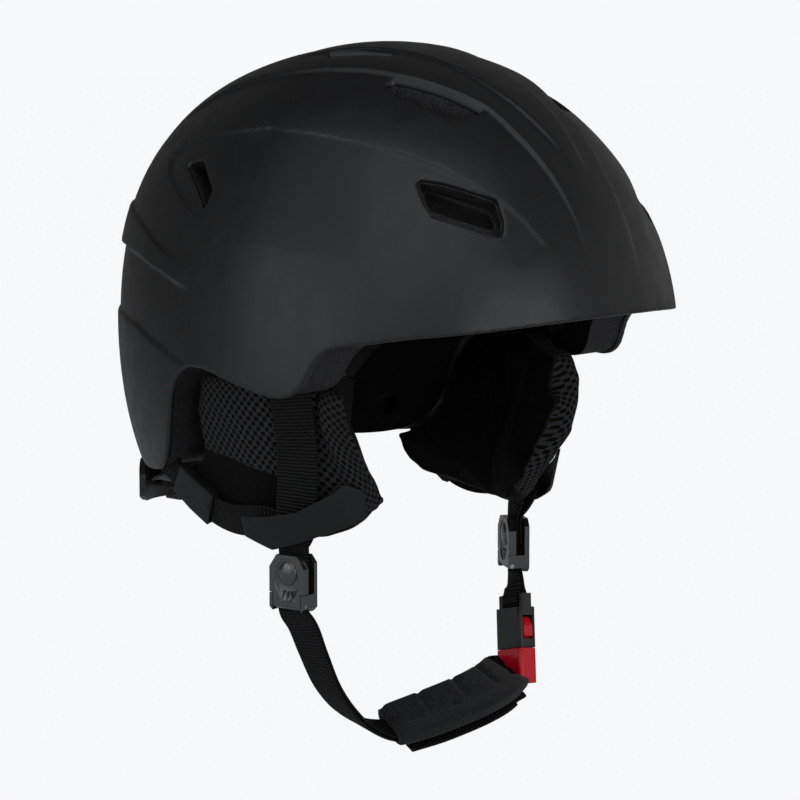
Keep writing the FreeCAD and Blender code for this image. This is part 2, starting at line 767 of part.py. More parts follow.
def rear_path(hand, divider):
    """Route of the rear strap, from the divider to its anchor."""
    centre, facing = divider
    half_layer = (size("webbing_thickness") + size("layer_gap")) / 2
    stacked = centre - facing * half_layer
    path = [(stacked, facing), (stacked + Vector(0, 0, size("divider_height") / 2), facing),
            (stacked + Vector(0, 0, size("strap_exit")), facing)]
    path += [(flipped(pad_point(y, z, strap_lift(layers)), hand), flipped(pad_normal(y), hand))
             for y, z, layers in REAR_ROUTE]
    path += [(flipped(Vector(*point), hand), flipped(Vector(-1, 0.15, -0.1), hand))
             for point in REAR_TOP]
    return path


def rivet(anchor, radius_extra, head_extra, access):
    """Return a strap rivet along X: head inside, shank outwards through the webbing."""
    centre, length = anchor
    shank = Part.makeCylinder(size("rivet_radius") + radius_extra, size(length) + radius_extra,
                              centre, Vector(-1, 0, 0))
    head_length = access if access else size("rivet_head_thickness")
    head = Part.makeCylinder(size("rivet_head_radius") + head_extra, head_length, centre, Vector(1, 0, 0))
    return shank.fuse(head)


ACCESS_DEPTH = 30.0
FRONT_RIVET = pad_point(-19.5, 9, strap_lift(1)) + Vector(size("webbing_thickness") / 2 + 0.5, 0, 0)
REAR_RIVET = Vector(-84.5, 69, -33.5) + Vector(size("webbing_thickness") / 2 + 0.5, 0, 0)
ANCHORS = ((FRONT_RIVET, "front_rivet_length"), (REAR_RIVET, "rear_rivet_length"))


def straps():
    """Front and rear straps, their rivets, sleeves and guides; return the liner's slots."""
    clearance = 2 * size("slot_gap")
    thickness = size("webbing_thickness")
    slots = []
    rivets = []
    for side, hand, divider in (("right", -1, RIGHT_DIVIDER), ("left", 1, LEFT_DIVIDER)):
        holes = [rivet(anchor, size("bore_gap"), 0.0, 0.0) for anchor in ANCHORS]
        pieces = [rivet(anchor, 0.0, 0.0, 0.0) for anchor in ANCHORS]
        access = [rivet(anchor, size("bore_gap"), size("slot_gap"), ACCESS_DEPTH) for anchor in ANCHORS]
        if hand > 0:
            holes, pieces, access = [[shape.mirror(Vector(0, 0, 0), MID_PLANE) for shape in group]
                                     for group in (holes, pieces, access)]
        for stem, path, width, hole in (
                ("front", front_path(hand, divider), size("front_strap_width"), holes[0]),
                ("rear", rear_path(hand, divider), size("rear_strap_width"), holes[1])):
            narrow = [size("webbing_in_divider")] * POINTS_IN_DIVIDER
            plain = [width] * (len(path) - POINTS_IN_DIVIDER)
            widths = plain + narrow if stem == "front" else narrow + plain
            strip = webbing(path, width, thickness, widths)
            node = "%s_strap_%s" % (stem, side)
            publish(node, cut(node + "_body", free_form(node + "_strip", strip),
                              free_form(node + "_hole", hole)))
            top = path[:3] if stem == "front" else path[-3:]
            slots.append(free_form("slot_%s" % node, webbing(top, width + clearance, thickness + clearance)))
        rivets += pieces
        slots += [free_form("rivet_access_%s_%d" % (side, index), shape)
                  for index, shape in enumerate(access)]
    publish("strap_rivets", free_form("rivet_group", Part.makeCompound(rivets)), pieces=len(rivets))
    return slots


GUIDE_OUTLINE = ((13, -62), (14, -71), (0, -76), (-13, -72), (-29, -65), (-36, -60), (-37, -48),
                 (-33, -45), (-28, -50), (-15, -58), (0, -61))


def strap_guide(side):
    """Return one rubber guide, on the wearer's right, as far out as its side's straps need."""
    over_straps = strap_lift(2.4) + size("webbing_thickness") / 2 + size("soft_gap")
    lift = over_straps + size("guide_lift_" + side)
    slab = free_form("guide_slab_" + side, pad_slab(-lift - size("guide_thickness"), -lift))
    outline = polygon_face([Vector(-REACH_ACROSS, y, z) for y, z in GUIDE_OUTLINE], 1.2)
    prism = free_form("guide_outline_" + side, outline.extrude(Vector(REACH_ACROSS, 0, 0)))
    return common("guide_body_" + side, slab, prism)


def strap_fittings():
    """Rubber sleeve on the rear strap and rubber guide over both straps."""
    gap = size("soft_gap")
    wall = size("sleeve_wall")
    thickness = size("webbing_thickness")
    strap = rear_path(-1, RIGHT_DIVIDER)
    inner_width = size("rear_strap_width") + 2 * gap
    inner_thickness = thickness + 2 * gap
    sleeve = webbing(strap[SLEEVE_START:SLEEVE_END], inner_width + 2 * wall, inner_thickness + 2 * wall)
    bore = webbing(strap[SLEEVE_START - 1:SLEEVE_END + 1], inner_width, inner_thickness)
    pair("strap_sleeve", cut("sleeve_body", free_form("sleeve_block", sleeve),
                             free_form("sleeve_bore", bore)))
    publish("strap_guide_right", strap_guide("right"))
    publish("strap_guide_left", mirrored("strap_guide_left_mirror", strap_guide("left")))


# ---------------------------------------------------------------------------
# Small building blocks bound to the sheet
# ---------------------------------------------------------------------------
def block(name, width, depth, height, middle="0", front="0", base="0"):
    """Add a box centred on x = middle, from y = front and z = base; all are expressions."""
    return primitive("Box", name, Length=width, Width=depth, Height=height,
                     Placement__Base__x="(%s) - (%s) / 2" % (middle, width),
                     Placement__Base__y=front, Placement__Base__z=base)


def cross_pin(name, radius, length, front, base):
    """Add a cylinder along X, centred on x = 0; all are expressions."""
    feature = primitive("Cylinder", name, Radius=radius, Height=length,
                        Placement__Base__x="-(%s) / 2" % length,
                        Placement__Base__y=front, Placement__Base__z=base)
    feature.Placement.Rotation = Rotation(Vector(0, 1, 0), 90)
    return feature


def facing_placement(centre, facing, upward=Vector(0, 0, 1)):
    """Return the placement that turns local -Y to facing and local Z to upward."""
    return frame_placement(centre, upward.cross(facing), upward)


# ---------------------------------------------------------------------------
# Strap dividers
# ---------------------------------------------------------------------------
LEVER_OUTLINE = ((-5.5, 12.5), (5.5, 12.5), (9.2, 7.0), (9.2, -4.1), (7.3, -4.1), (7.3, -9.5),
                 (-7.3, -9.5), (-7.3, -4.1), (-9.2, -4.1), (-9.2, 7.0))
BODY_OUTLINE = ((-6.5, 12.5), (6.5, 12.5), (9.2, 9.0), (9.2, -10.5), (7.2, -12.5), (-7.2, -12.5),
                (-9.2, -10.5), (-9.2, 9.0))
DISH_RIBS = (-14, 0, 14)
HINGE_FRONT = "-Sizes.divider_gap / 2 - Sizes.lever_thickness / 2"
HINGE_BASE = "-Sizes.hinge_drop"


def facing_prism(outline, front, rear):
    """Extrude an outline of (x, z) points along Y."""
    return polygon_face([Vector(x, front, z) for x, z in outline]).extrude(Vector(0, rear - front, 0))


def oval(half_width, half_height, half_depth, centre):
    """Return an ellipsoid."""
    matrix = FreeCAD.Matrix()
    matrix.scale(half_width, half_depth, half_height)
    shape = Part.makeSphere(1.0).transformGeometry(matrix)
    shape.translate(centre)
    return shape


def divider_body(tag):
    """Return the inner plate of a strap divider, with two cheeks for the hinge pin."""
    base = block("divider_base" + tag, "Sizes.divider_width", "Sizes.divider_base",
                 "Sizes.divider_height", front="Sizes.divider_gap / 2",
                 base="-Sizes.divider_height / 2")
    reach = "Sizes.divider_gap + Sizes.lever_thickness"
    cheeks = [block("divider_cheek%s_%d" % (tag, side + 1), "Sizes.cheek_thickness", reach,
                    "Sizes.cheek_height",
                    middle="%d * (Sizes.divider_width - Sizes.cheek_thickness) / 2" % side,
                    front="-Sizes.divider_gap / 2 - Sizes.lever_thickness",
                    base="-Sizes.divider_height / 2") for side in (-1, 1)]
    joined = fuse("divider_joined" + tag, [base] + cheeks)
    outline = free_form("divider_outline" + tag, facing_prism(BODY_OUTLINE, -20, 20))
    rounded = common("divider_rounded" + tag, joined, outline)
    bore = cross_pin("divider_bore" + tag, "Sizes.hinge_pin_radius", "2 * Sizes.divider_width",
                     HINGE_FRONT, HINGE_BASE)
    return cut("divider_body" + tag, rounded, bore)


def divider_lever(tag):
    """Return the outer lever of a strap divider: plate, oval dish, bead and fan of ribs."""
    inner = -size("divider_gap") / 2
    outer = inner - size("lever_thickness")
    plate = facing_prism(LEVER_OUTLINE, outer, inner)
    barrel = Part.makeCylinder(size("lever_thickness") / 2, size("barrel_length"),
                               Vector(-size("barrel_length") / 2, (inner + outer) / 2, -size("hinge_drop")),
                               Vector(1, 0, 0))
    lever = plate.fuse(barrel)
    centre = Vector(0, outer, 1.6)
    lever = lever.cut(oval(size("dish_half_width"), size("dish_half_height"), size("dish_depth"), centre))
    bead = oval(size("bead_half_width"), size("bead_half_height"), size("bead_rise"),
                centre + Vector(0, size("dish_depth") * 0.8, size("bead_centre")))
    lever = lever.fuse(bead)
    for angle in DISH_RIBS:
        rib = Part.makeBox(size("dish_rib_width"), size("dish_depth"), 5.0,
                           Vector(-size("dish_rib_width") / 2, outer + 0.3, -8.2))
        rib.rotate(Vector(0, outer, 4.0), Vector(0, 1, 0), angle)
        lever = lever.fuse(rib)
    lever = free_form("lever_plate" + tag, lever)
    bore = cross_pin("lever_bore" + tag, "Sizes.hinge_pin_radius + Sizes.running_gap",
                     "2 * Sizes.divider_width", HINGE_FRONT, HINGE_BASE)
    return cut("divider_lever" + tag, lever, bore)


def divider_placement(side):
    """Return the place of one strap divider."""
    centre, facing = RIGHT_DIVIDER if side == "right" else LEFT_DIVIDER
    return facing_placement(centre, facing if side == "right" else facing * -1)


def dividers():
    """Two strap dividers of the same hand, with their hinge pins."""
    pins = []
    for side in ("right", "left"):
        place = divider_placement(side)
        publish("divider_body_" + side, divider_body("_" + side), place)
        publish("divider_lever_" + side, divider_lever("_" + side), place)
        pin = cross_pin("divider_pin_" + side, "Sizes.hinge_pin_radius",
                        "Sizes.divider_width - Sizes.slide_gap", HINGE_FRONT, HINGE_BASE)
        document.recompute()
        turned = pin.Shape.copy()
        turned.Placement = place.multiply(pin.Placement)
        pins.append(turned)
    publish("divider_pins", free_form("pin_group", Part.makeCompound(pins)), pieces=len(pins))


# ---------------------------------------------------------------------------
# Side-release buckle
# ---------------------------------------------------------------------------
BUCKLE_MOUTH = Vector(68.0, -10.8, -141.6)
BUCKLE_UP = Vector(0.18, 0.195, 0.96)
BUCKLE_UP.normalize()
BUCKLE_PLACE = facing_placement(BUCKLE_MOUTH, Vector(0.94, -0.34, 0), BUCKLE_UP)
STRAP_LAYERS = 2


def bar_height():
    """Return the height of the strap bar above the buckle's mouth."""
    wrap = size("bar_radius") + size("soft_gap") + size("webbing_thickness")
    return size("female_length") + wrap + size("slot_gap")


def buckle_prism(base, top):
    """Return the buckle's rounded outline as an upright prism."""
    half_width = size("buckle_width") / 2
    half_depth = size("buckle_thickness") / 2
    corners = ((-half_width, -half_depth), (half_width, -half_depth),
               (half_width, half_depth), (-half_width, half_depth))
    return plan_prism(corners, base, top, size("buckle_corner"))


def buckle_female():
    """Socket half: hollow body, side windows, cheeks and strap bar."""
    outer = free_form("female_outer", buckle_prism(0.0, size("female_length")))
    cavity = block("female_cavity", "Sizes.buckle_width - 2 * Sizes.buckle_wall",
                   "Sizes.prong_depth + 2 * Sizes.slide_gap", "Sizes.female_length - Sizes.buckle_wall + 1",
                   front="-Sizes.prong_depth / 2 - Sizes.slide_gap", base="-1")
    windows = block("female_windows", "2 * Sizes.buckle_width", "Sizes.prong_depth + 2 * Sizes.slide_gap",
                    "Sizes.window_length", front="-Sizes.prong_depth / 2 - Sizes.slide_gap",
                    base="Sizes.window_start")
    hollow = cut("female_hollow", cut("female_open", outer, cavity), windows)
    top = "%f - Sizes.female_length + Sizes.bar_radius + Sizes.slot_gap" % bar_height()
    cheeks = [block("female_cheek_%d" % (side + 1), "Sizes.bar_cheek", "Sizes.buckle_thickness / 2", top,
                    middle="%d * (Sizes.buckle_width - Sizes.bar_cheek) / 2" % side,
                    front="-Sizes.buckle_thickness / 4", base="Sizes.female_length") for side in (-1, 1)]
    bar = cross_pin("female_bar", "Sizes.bar_radius", "Sizes.buckle_width - Sizes.bar_cheek",
                    "0", "%f" % bar_height())
    publish("buckle_female", fuse("buckle_female_body", [hollow, bar] + cheeks), BUCKLE_PLACE)


def prong_shape(clearance):
    """Return the prong on the +X side: root, arm and outward head."""
    inner = size("prong_offset") - size("prong_width") / 2 - clearance
    outer = size("prong_offset") + size("prong_width") / 2 + clearance
    proud = size("buckle_width") / 2 + size("head_proud")
    root = -size("prong_root") - clearance
    head = size("head_start")
    tip = size("prong_length")
    outline = ((inner, root), (outer, root), (outer, head), (proud, head), (proud, head + 5.5),
               (outer, tip), (inner, tip))
    half = size("prong_depth") / 2 + clearance
    return facing_prism(outline, -half, half)


def buckle_male():
    """Plug half: body and guide rib; its two prongs are pieces of their own."""
    top = -size("slide_gap")
    body = free_form("male_block", buckle_prism(top - size("male_length"), top))
    rib = block("male_rib", "Sizes.guide_rib_width", "Sizes.prong_depth",
                "Sizes.guide_rib_length + Sizes.slide_gap", front="-Sizes.prong_depth / 2",
                base="-Sizes.slide_gap")
    joined = fuse("male_joined", [body, rib])
    socket = prong_shape(size("slide_gap"))
    swing = Part.makeBox(4.0, size("prong_depth") + 2 * size("slide_gap"), size("prong_root") + 1,
                         Vector(size("prong_offset") - 3.2, -size("prong_depth") / 2 - size("slide_gap"),
                                -size("prong_root") - size("slide_gap")))
    socket = socket.fuse(swing)
    recesses = free_form("male_recesses", mirrored_shapes(socket))
    publish("buckle_male", cut("buckle_male_body", joined, recesses), BUCKLE_PLACE)
    first = free_form("prong_front_body", prong_shape(0.0).mirror(Vector(0, 0, 0), MID_PLANE))
    publish("prong_front", first, BUCKLE_PLACE)
    publish("prong_rear", free_form("prong_rear_body", prong_shape(0.0)), BUCKLE_PLACE)


def loop_strap():
    """Left chin strap: from the divider, turning to loop round the buckle's bar."""
    centre, facing = LEFT_DIVIDER
    wrap = size("bar_radius") + size("soft_gap")
    thickness = size("webbing_thickness")
    axis = BUCKLE_PLACE.Rotation.multVec(Vector(1, 0, 0))
    bar = BUCKLE_PLACE.multVec(Vector(0, 0, bar_height()))
    start = bar - axis * (size("chin_strap_width") / 2)
    ring = Part.makeCylinder(wrap + thickness, size("chin_strap_width"), start, axis)
    ring = ring.cut(Part.makeCylinder(wrap, size("chin_strap_width"), start, axis))
    outward = BUCKLE_PLACE.Rotation.multVec(Vector(0, -1, 0))
    drop = Vector(0, 0, -1)
    path = [(centre + drop * 1.5, facing), (centre + drop * 13.5, facing),
            (bar + BUCKLE_UP * (wrap + thickness + 3.0), outward),
            (bar + BUCKLE_UP * (wrap + thickness * 0.6), outward)]
    tail = webbing(path, size("webbing_in_divider"), STRAP_LAYERS * thickness)
    publish("chin_strap_left", free_form("loop_strap", tail.fuse(ring)))


# ---------------------------------------------------------------------------
# Chin strap and chin pad
# ---------------------------------------------------------------------------
CHIN_ROUTE = (((-73, -7.5, -108), (-1, -0.14, -0.1)), ((-66, -8, -122), (-0.95, -0.1, -0.3)),
              ((-56, -8, -140), (-0.85, 0, -0.5)), ((-45, -8, -152), (-0.7, 0.1, -0.7)),
              ((-33, -8.5, -160.5), (-0.5, 0.25, -0.8)))
PAD_ROUTE = (((-20, -12, -165), (-0.1, 0.4, -0.9)), ((0, -20, -160), (0.1, 0.45, -0.87)),
             ((22, -25, -155), (0.1, 0.45, -0.87)), ((39, -22, -153), (0.1, 0.45, -0.87)),
             ((52.8, -16.1, -152.1), (0.1, 0.4, -0.87)))


def route(points):
    """Turn plain numbers into (centre, normal) pairs."""
    return [(Vector(*centre), Vector(*normal)) for centre, normal in points]


def shifted(path, lift):
    """Move a path along its normals."""
    moved = []
    for centre, normal in path:
        direction = Vector(normal)
        direction.normalize()
        moved.append((centre + direction * lift, normal))
    return moved


def chin_strap():
    """Right chin strap, and the pad and flap that wrap it."""
    centre, facing = RIGHT_DIVIDER
    thickness = STRAP_LAYERS * size("webbing_thickness")
    width = size("chin_strap_width")
    narrow = size("webbing_in_divider")
    pad_path = route(PAD_ROUTE)
    path = [(centre + Vector(0, 0, -1), facing), (centre + Vector(0, 0, -14), facing)]
    thick = Vector(0.94, -0.34, 0)
    reach = size("buckle_thickness") / 2 + size("soft_gap")
    end = BUCKLE_PLACE.multVec(Vector(-3.0, 0, -8.3)) - thick * (reach + 0.6)
    path += route(CHIN_ROUTE) + pad_path + [(end - thick * 3.5, pad_path[-1][1]), (end, pad_path[-1][1])]
    widths = [narrow, narrow] + [width] * (len(path) - 2)
    publish("chin_strap_right", free_form("chin_strap", webbing(path, width, thickness, widths)))
    gap = size("soft_gap")
    outer = webbing(pad_path, size("chin_pad_width"), size("chin_pad_thickness"), section=PADDED_SECTION)
    tunnel = webbing(path[5:], width + 2 * gap, thickness + 2 * gap)
    publish("chin_pad", cut("chin_pad_body", free_form("chin_pad_block", outer),
                            free_form("chin_pad_tunnel", tunnel)))
    lift = size("chin_pad_thickness") / 2 + gap + size("chin_flap_thickness") / 2 + 0.8
    flap = webbing(shifted(pad_path, lift), size("chin_flap_width"), size("chin_flap_thickness"))
    publish("chin_pad_flap", free_form("chin_flap", flap))


# ---------------------------------------------------------------------------
# Fit system
# ---------------------------------------------------------------------------
CRADLE_OUTLINE = ((-65, -56), (-58, -50), (-36, -49), (36, -49), (58, -50), (65, -56), (64, -66),
                  (54, -70), (30, -71), (-30, -71), (-54, -70), (-64, -66))
NAPE_OUTLINE = ((-44, -54), (-40, -51.5), (-10, -51.5), (-6, -56), (6, -56), (10, -51.5),
                (40, -51.5), (44, -54), (44, -66), (38, -69.5), (-38, -69.5), (-44, -66))
ARM_ROUTE = ((40, -64), (62, -71), (90, -74), (138, -67), (165, -55), (184, -42), (197, -36))
ARM_TAIL = (((-42.5, 81.0, -54), (-0.5, 0.85, -0.1)), ((-50, 91, -56), (-0.5, 0.85, -0.1)),
            ((-57.6, 101.0, -58.5), (-0.6, 0.8, 0)))


CRADLE_FLOOR = -90.0
CRADLE_CEILING = -30.0


def cradle_point(x, lift):
    """Return a plan point of the cradle's front face, moved back by lift."""
    beyond = max(0.0, abs(x) - size("cradle_flat"))
    bend = (size("cradle_back") - size("cradle_wing_y")) / (size("cradle_half_width")
                                                          - size("cradle_flat")) ** 2
    slope = 2 * bend * beyond
    length = math.hypot(1.0, slope)
    return (x + lift * math.copysign(slope, x) / length,
            size("cradle_back") - bend * beyond ** 2 + lift / length)


def cradle_line(lift, half_width):
    """Return the cradle's plan line moved back by lift: an arc, a straight and an arc."""
    flat = size("cradle_flat")
    middle = (flat + half_width) / 2
    right = [Vector(*cradle_point(-x, lift), CRADLE_FLOOR) for x in (half_width, middle, flat)]
    left = [Vector(*cradle_point(x, lift), CRADLE_FLOOR) for x in (flat, middle, half_width)]
    return [Part.Arc(*right).toShape(), Part.makeLine(right[-1], left[0]), Part.Arc(*left).toShape()]


def cradle_wall(name, front_lift, back_lift, half_width, outline, corner):
    """Return a curved wall that follows the cradle, cut to an outline seen from behind."""
    front = cradle_line(front_lift, half_width)
    back = cradle_line(back_lift, half_width)
    ends = [Part.makeLine(front[0].Vertexes[0].Point, back[0].Vertexes[0].Point),
            Part.makeLine(front[-1].Vertexes[-1].Point, back[-1].Vertexes[-1].Point)]
    face = Part.Face(Part.Wire(Part.__sortEdges__(front + back + ends)))
    wall = free_form(name + "_wall", face.extrude(Vector(0, 0, CRADLE_CEILING - CRADLE_FLOOR)))
    shape = polygon_face([Vector(x, 60, z) for x, z in outline], corner).extrude(Vector(0, 90, 0))
    return common(name, wall, free_form(name + "_outline", shape))


def cradle():
    """Nape cradle with two hangers, its pad and the two arms of the headband."""
    wall = cradle_wall("cradle_plate", 0.0, size("cradle_wall"), size("cradle_half_width") + 2,
                       CRADLE_OUTLINE, 2.5)
    hangers = []
    slots = []
    for side in (-1, 1):
        middle = "%d * Sizes.hanger_offset" % side
        hangers.append(block("hanger_%d" % (side + 1), "Sizes.hanger_width", "Sizes.cradle_wall",
                             "Sizes.hanger_rise", middle=middle, front="Sizes.cradle_back",
                             base="Sizes.cradle_top - 5"))
        gap = "Sizes.slot_gap"
        slots.append(block("hanger_slot_%d" % (side + 1), "Sizes.hanger_width + 2 * " + gap,
                           "Sizes.cradle_wall + 2 * " + gap, "Sizes.hanger_rise + " + gap,
                           middle=middle, front="Sizes.cradle_back - " + gap,
                           base="Sizes.cradle_top - 5"))
    shaft_hole = primitive("Cylinder", "cradle_shaft_hole", Radius="Sizes.dial_shaft_radius + 1",
                           Height="40")
    shaft_hole.Placement = Placement(Vector(0, 100, size("dial_height")), Rotation(Vector(1, 0, 0), -90))
    publish("nape_cradle", cut("cradle_body", fuse("cradle_joined", [wall] + hangers), shaft_hole))
    gap = size("soft_gap")
    publish("nape_pad", cradle_wall("nape_pad_body", -gap - size("nape_pad_thickness"), -gap,
                                    size("cradle_half_width") + 2, NAPE_OUTLINE, 3.0))
    inset = 0.6 + size("arm_thickness") / 2
    path = [(form_point("cavity", angle, latitude, inset), form_normal("cavity", angle, latitude))
            for angle, latitude in ARM_ROUTE] + route(ARM_TAIL)
    pair("headband_arm", free_form("arm_strip", webbing(path, size("arm_width"), size("arm_thickness"))))
    return slots


def housing_front():
    """Return the y of the housing's front face, on the cradle's back."""
    return size("cradle_back") + size("cradle_wall")


def inner_half_height():
    """Return half the height inside the housing, over both racks."""
    pitch = size("gear_module") * size("gear_teeth") / 2
    return pitch + size("gear_dedendum") + size("rack_back") + size("slide_gap")


def gear_front():
    """Return the y of the front of the pinion and racks."""
    return housing_front() + size("housing_wall") + size("slide_gap")


def housing():
    """Housing with slots for both racks, and its cover plate."""
    half_height = inner_half_height() + size("housing_wall")
    front = housing_front()
    middle_height = size("dial_height")
    outer = block("housing_outer", "2 * Sizes.housing_half_width", "Sizes.housing_depth",
                  "%f" % (2 * half_height), front="%f" % front, base="%f" % (middle_height - half_height))
    inside = block("housing_inside", "2 * (Sizes.housing_half_width - Sizes.housing_wall)",
                   "Sizes.housing_depth", "%f" % (2 * inner_half_height()),
                   front="%f + Sizes.housing_wall" % front, base="%f" % (middle_height - inner_half_height()))
    slot_depth = "Sizes.gear_thickness + 2 * Sizes.slide_gap"
    slot_height = "%f" % (inner_half_height() - size("gear_module") * size("gear_teeth") / 2 + 1.2)
    mouths = [block("rack_mouth_right", "Sizes.housing_half_width", slot_depth, slot_height,
                    middle="-Sizes.housing_half_width", front="%f - Sizes.slide_gap" % gear_front(),
                    base="%f - (%s)" % (middle_height + inner_half_height(), slot_height)),
              block("rack_mouth_left", "Sizes.housing_half_width", slot_depth, slot_height,
                    middle="Sizes.housing_half_width", front="%f - Sizes.slide_gap" % gear_front(),
                    base="%f" % (middle_height - inner_half_height()))]
    hollow = cut("housing_hollow", outer, inside)
    publish("dial_housing", cut("housing_body", hollow, fuse("rack_mouths", mouths)))
    plate = block("cover_plate", "2 * Sizes.housing_half_width", "Sizes.cover_plate",
                  "%f" % (2 * half_height), front="%f + Sizes.housing_depth" % front,
                  base="%f" % (middle_height - half_height))
    hole = primitive("Cylinder", "cover_hole", Radius="Sizes.dial_shaft_radius + Sizes.running_gap",
                     Height="60")
    hole.Placement = Placement(Vector(0, 100, middle_height), Rotation(Vector(1, 0, 0), -90))
    publish("dial_cover", cut("cover_body", plate, hole))


def tooth_half_widths():
    """Return a tooth's half width at its root, pitch line and tip."""
    pitch_half = math.pi * size("gear_module") / 4 - size("gear_backlash") / 2
    slope = math.tan(math.radians(20))
    return (pitch_half + slope * size("gear_dedendum") * 0.5, pitch_half,
            pitch_half - slope * size("gear_addendum"))


def pinion_face():
    """Return the pinion's toothed outline in the XY plane."""
    teeth = int(size("gear_teeth"))
    pitch = size("gear_module") * teeth / 2
    root_half, pitch_half, tip_half = tooth_half_widths()
    points = []
    for index in range(teeth):
        turn = 2 * math.pi * index / teeth
        for radius, half in ((pitch - size("gear_dedendum"), -root_half), (pitch, -pitch_half),
                             (pitch + size("gear_addendum"), -tip_half),
                             (pitch + size("gear_addendum"), tip_half), (pitch, pitch_half),
                             (pitch - size("gear_dedendum"), root_half)):
            angle = turn + half / radius
            points.append(Vector(radius * math.cos(angle), radius * math.sin(angle), 0))
    return polygon_face(points)


def rack_shape():
    """Return the right rack: above the pinion, with its teeth downwards."""
    pitch_line = size("gear_module") * size("gear_teeth") / 2
    step = math.pi * size("gear_module")
    start = size("rack_overlap") - size("rack_length")
    root = pitch_line + size("gear_dedendum")
    back = root + size("rack_back")
    root_half, pitch_half, tip_half = tooth_half_widths()
    lowest = int(math.ceil((start + step) / step))
    highest = int(math.floor((size("rack_overlap") - step / 2) / step))
    points = [(size("rack_overlap"), back), (start, back), (start, root)]
    for index in range(lowest, highest + 1):
        middle = index * step
        points += [(middle - root_half, root), (middle - tip_half, pitch_line - size("gear_addendum")),
                   (middle + tip_half, pitch_line - size("gear_addendum")), (middle + root_half, root)]
    points.append((size("rack_overlap"), root))
    return facing_prism(points, 0.0, size("gear_thickness"))


def body_plane(body, role):
    """Return one origin plane or axis of a body."""
    return next(item for item in body.Origin.OriginFeatures if item.Role == role)


def circle_sketch(body, name, radius, offset=None, height=None):
    """Add a sketch of one circle on the body's XY plane, bound to the sheet."""
    sketch = body.newObject("Sketcher::SketchObject", name)
    sketch.AttachmentSupport = [(body_plane(body, "XY_Plane"), "")]
    sketch.MapMode = "FlatFace"
    if height:
        sketch.setExpression("AttachmentOffset.Base.z", height)
    start = 10.0 if offset else 0.0
    index = sketch.addGeometry(Part.Circle(Vector(start, 0, 0), Vector(0, 0, 1), 1.0), False)
    sketch.addConstraint(Sketcher.Constraint("Radius", index, 1.0))
    sketch.renameConstraint(0, "radius")
    sketch.setExpression("Constraints.radius", radius)
    if offset:
        sketch.addConstraint(Sketcher.Constraint("PointOnObject", index, 3, -1))
        sketch.addConstraint(Sketcher.Constraint("DistanceX", -1, 1, index, 3, start))
        sketch.renameConstraint(2, "offset")
        sketch.setExpression("Constraints.offset", offset)
    else:
        sketch.addConstraint(Sketcher.Constraint("Coincident", index, 3, -1, 1))
    return sketch


def pad_feature(body, sketch, name, length):
    """Pad a sketch upwards."""
    feature = body.newObject("PartDesign::Pad", name)
    feature.Profile = sketch
    feature.setExpression("Length", length)
    return feature


def pocket_feature(body, sketch, name, length):
    """Cut a sketch upwards into the body."""
    feature = body.newObject("PartDesign::Pocket", name)
    feature.Profile = sketch
    feature.Reversed = True
    feature.setExpression("Length", length)
    return feature


def dial_mechanism():
    """Dial with scalloped rim, pinion on its shaft, screw and the two racks."""
    turned = Rotation(Vector(1, 0, 0), -90)
    axis_height = size("dial_height")
    pinion_front = gear_front()
    dial_front = housing_front() + size("housing_depth") + size("cover_plate") + size("slide_gap")
    dial = document.addObject("PartDesign::Body", "dial_body")
    disc = circle_sketch(dial, "dial_circle", "Sizes.dial_radius")
    pad_feature(dial, disc, "dial_disc", "Sizes.dial_thickness")
    grip = circle_sketch(dial, "dial_grip_circle", "Sizes.dial_grip_radius",
                         offset="Sizes.dial_radius + Sizes.dial_grip_radius / 3")
    grips = pocket_feature(dial, grip, "dial_grip", "Sizes.dial_thickness")
    document.recompute()
    pattern = dial.newObject("PartDesign::PolarPattern", "dial_grip_pattern")
    pattern.Originals = [grips]
    pattern.Axis = (disc, ["N_Axis"])
    pattern.Angle = 360
    pattern.setExpression("Occurrences", "Sizes.dial_grips")
    dial.Tip = pattern
    bore = circle_sketch(dial, "dial_bore_circle", "Sizes.dial_screw_radius + Sizes.bore_gap")
    pocket_feature(dial, bore, "dial_bore", "Sizes.dial_thickness")
    counterbore = circle_sketch(dial, "dial_counterbore_circle",
                                "Sizes.dial_screw_head_radius + Sizes.bore_gap",
                                height="Sizes.dial_thickness - Sizes.dial_screw_head - 0.4")
    dial.Tip = pocket_feature(dial, counterbore, "dial_counterbore", "Sizes.dial_thickness")
    publish("fit_dial", dial, Placement(Vector(0, dial_front, axis_height), turned))
    shaft_length = dial_front - pinion_front
    gear = pinion_face().extrude(Vector(0, 0, size("gear_thickness")))
    shaft = Part.makeCylinder(size("dial_shaft_radius"), shaft_length)
    screw_length = 6.0
    tapped = Part.makeCylinder(size("dial_screw_radius"), screw_length,
                               Vector(0, 0, shaft_length - screw_length))
    pinion = free_form("pinion_shape", gear.fuse(shaft).cut(tapped))
    publish("dial_pinion", pinion, Placement(Vector(0, pinion_front, axis_height), turned))
    head_base = size("dial_thickness") - size("dial_screw_head") - 0.4
    shank = Part.makeCylinder(size("dial_screw_radius"), head_base + screw_length - 0.2,
                              Vector(0, 0, -screw_length + 0.2))
    head = Part.makeCylinder(size("dial_screw_head_radius"), size("dial_screw_head"),
                             Vector(0, 0, head_base))
    publish("dial_screw", free_form("screw_shape", shank.fuse(head)),
            Placement(Vector(0, dial_front, axis_height), turned))
    place = Placement(Vector(0, pinion_front, axis_height), Rotation())
    publish("rack_right", free_form("rack_right_shape", rack_shape()), place)
    half_turn = Placement(place.Base, Rotation(Vector(0, 1, 0), 180))
    publish("rack_left", free_form("rack_left_shape", rack_shape()), half_turn)


# ---------------------------------------------------------------------------
# Assembly, checks and export
# ---------------------------------------------------------------------------
MESH_TOLERANCE = 0.2


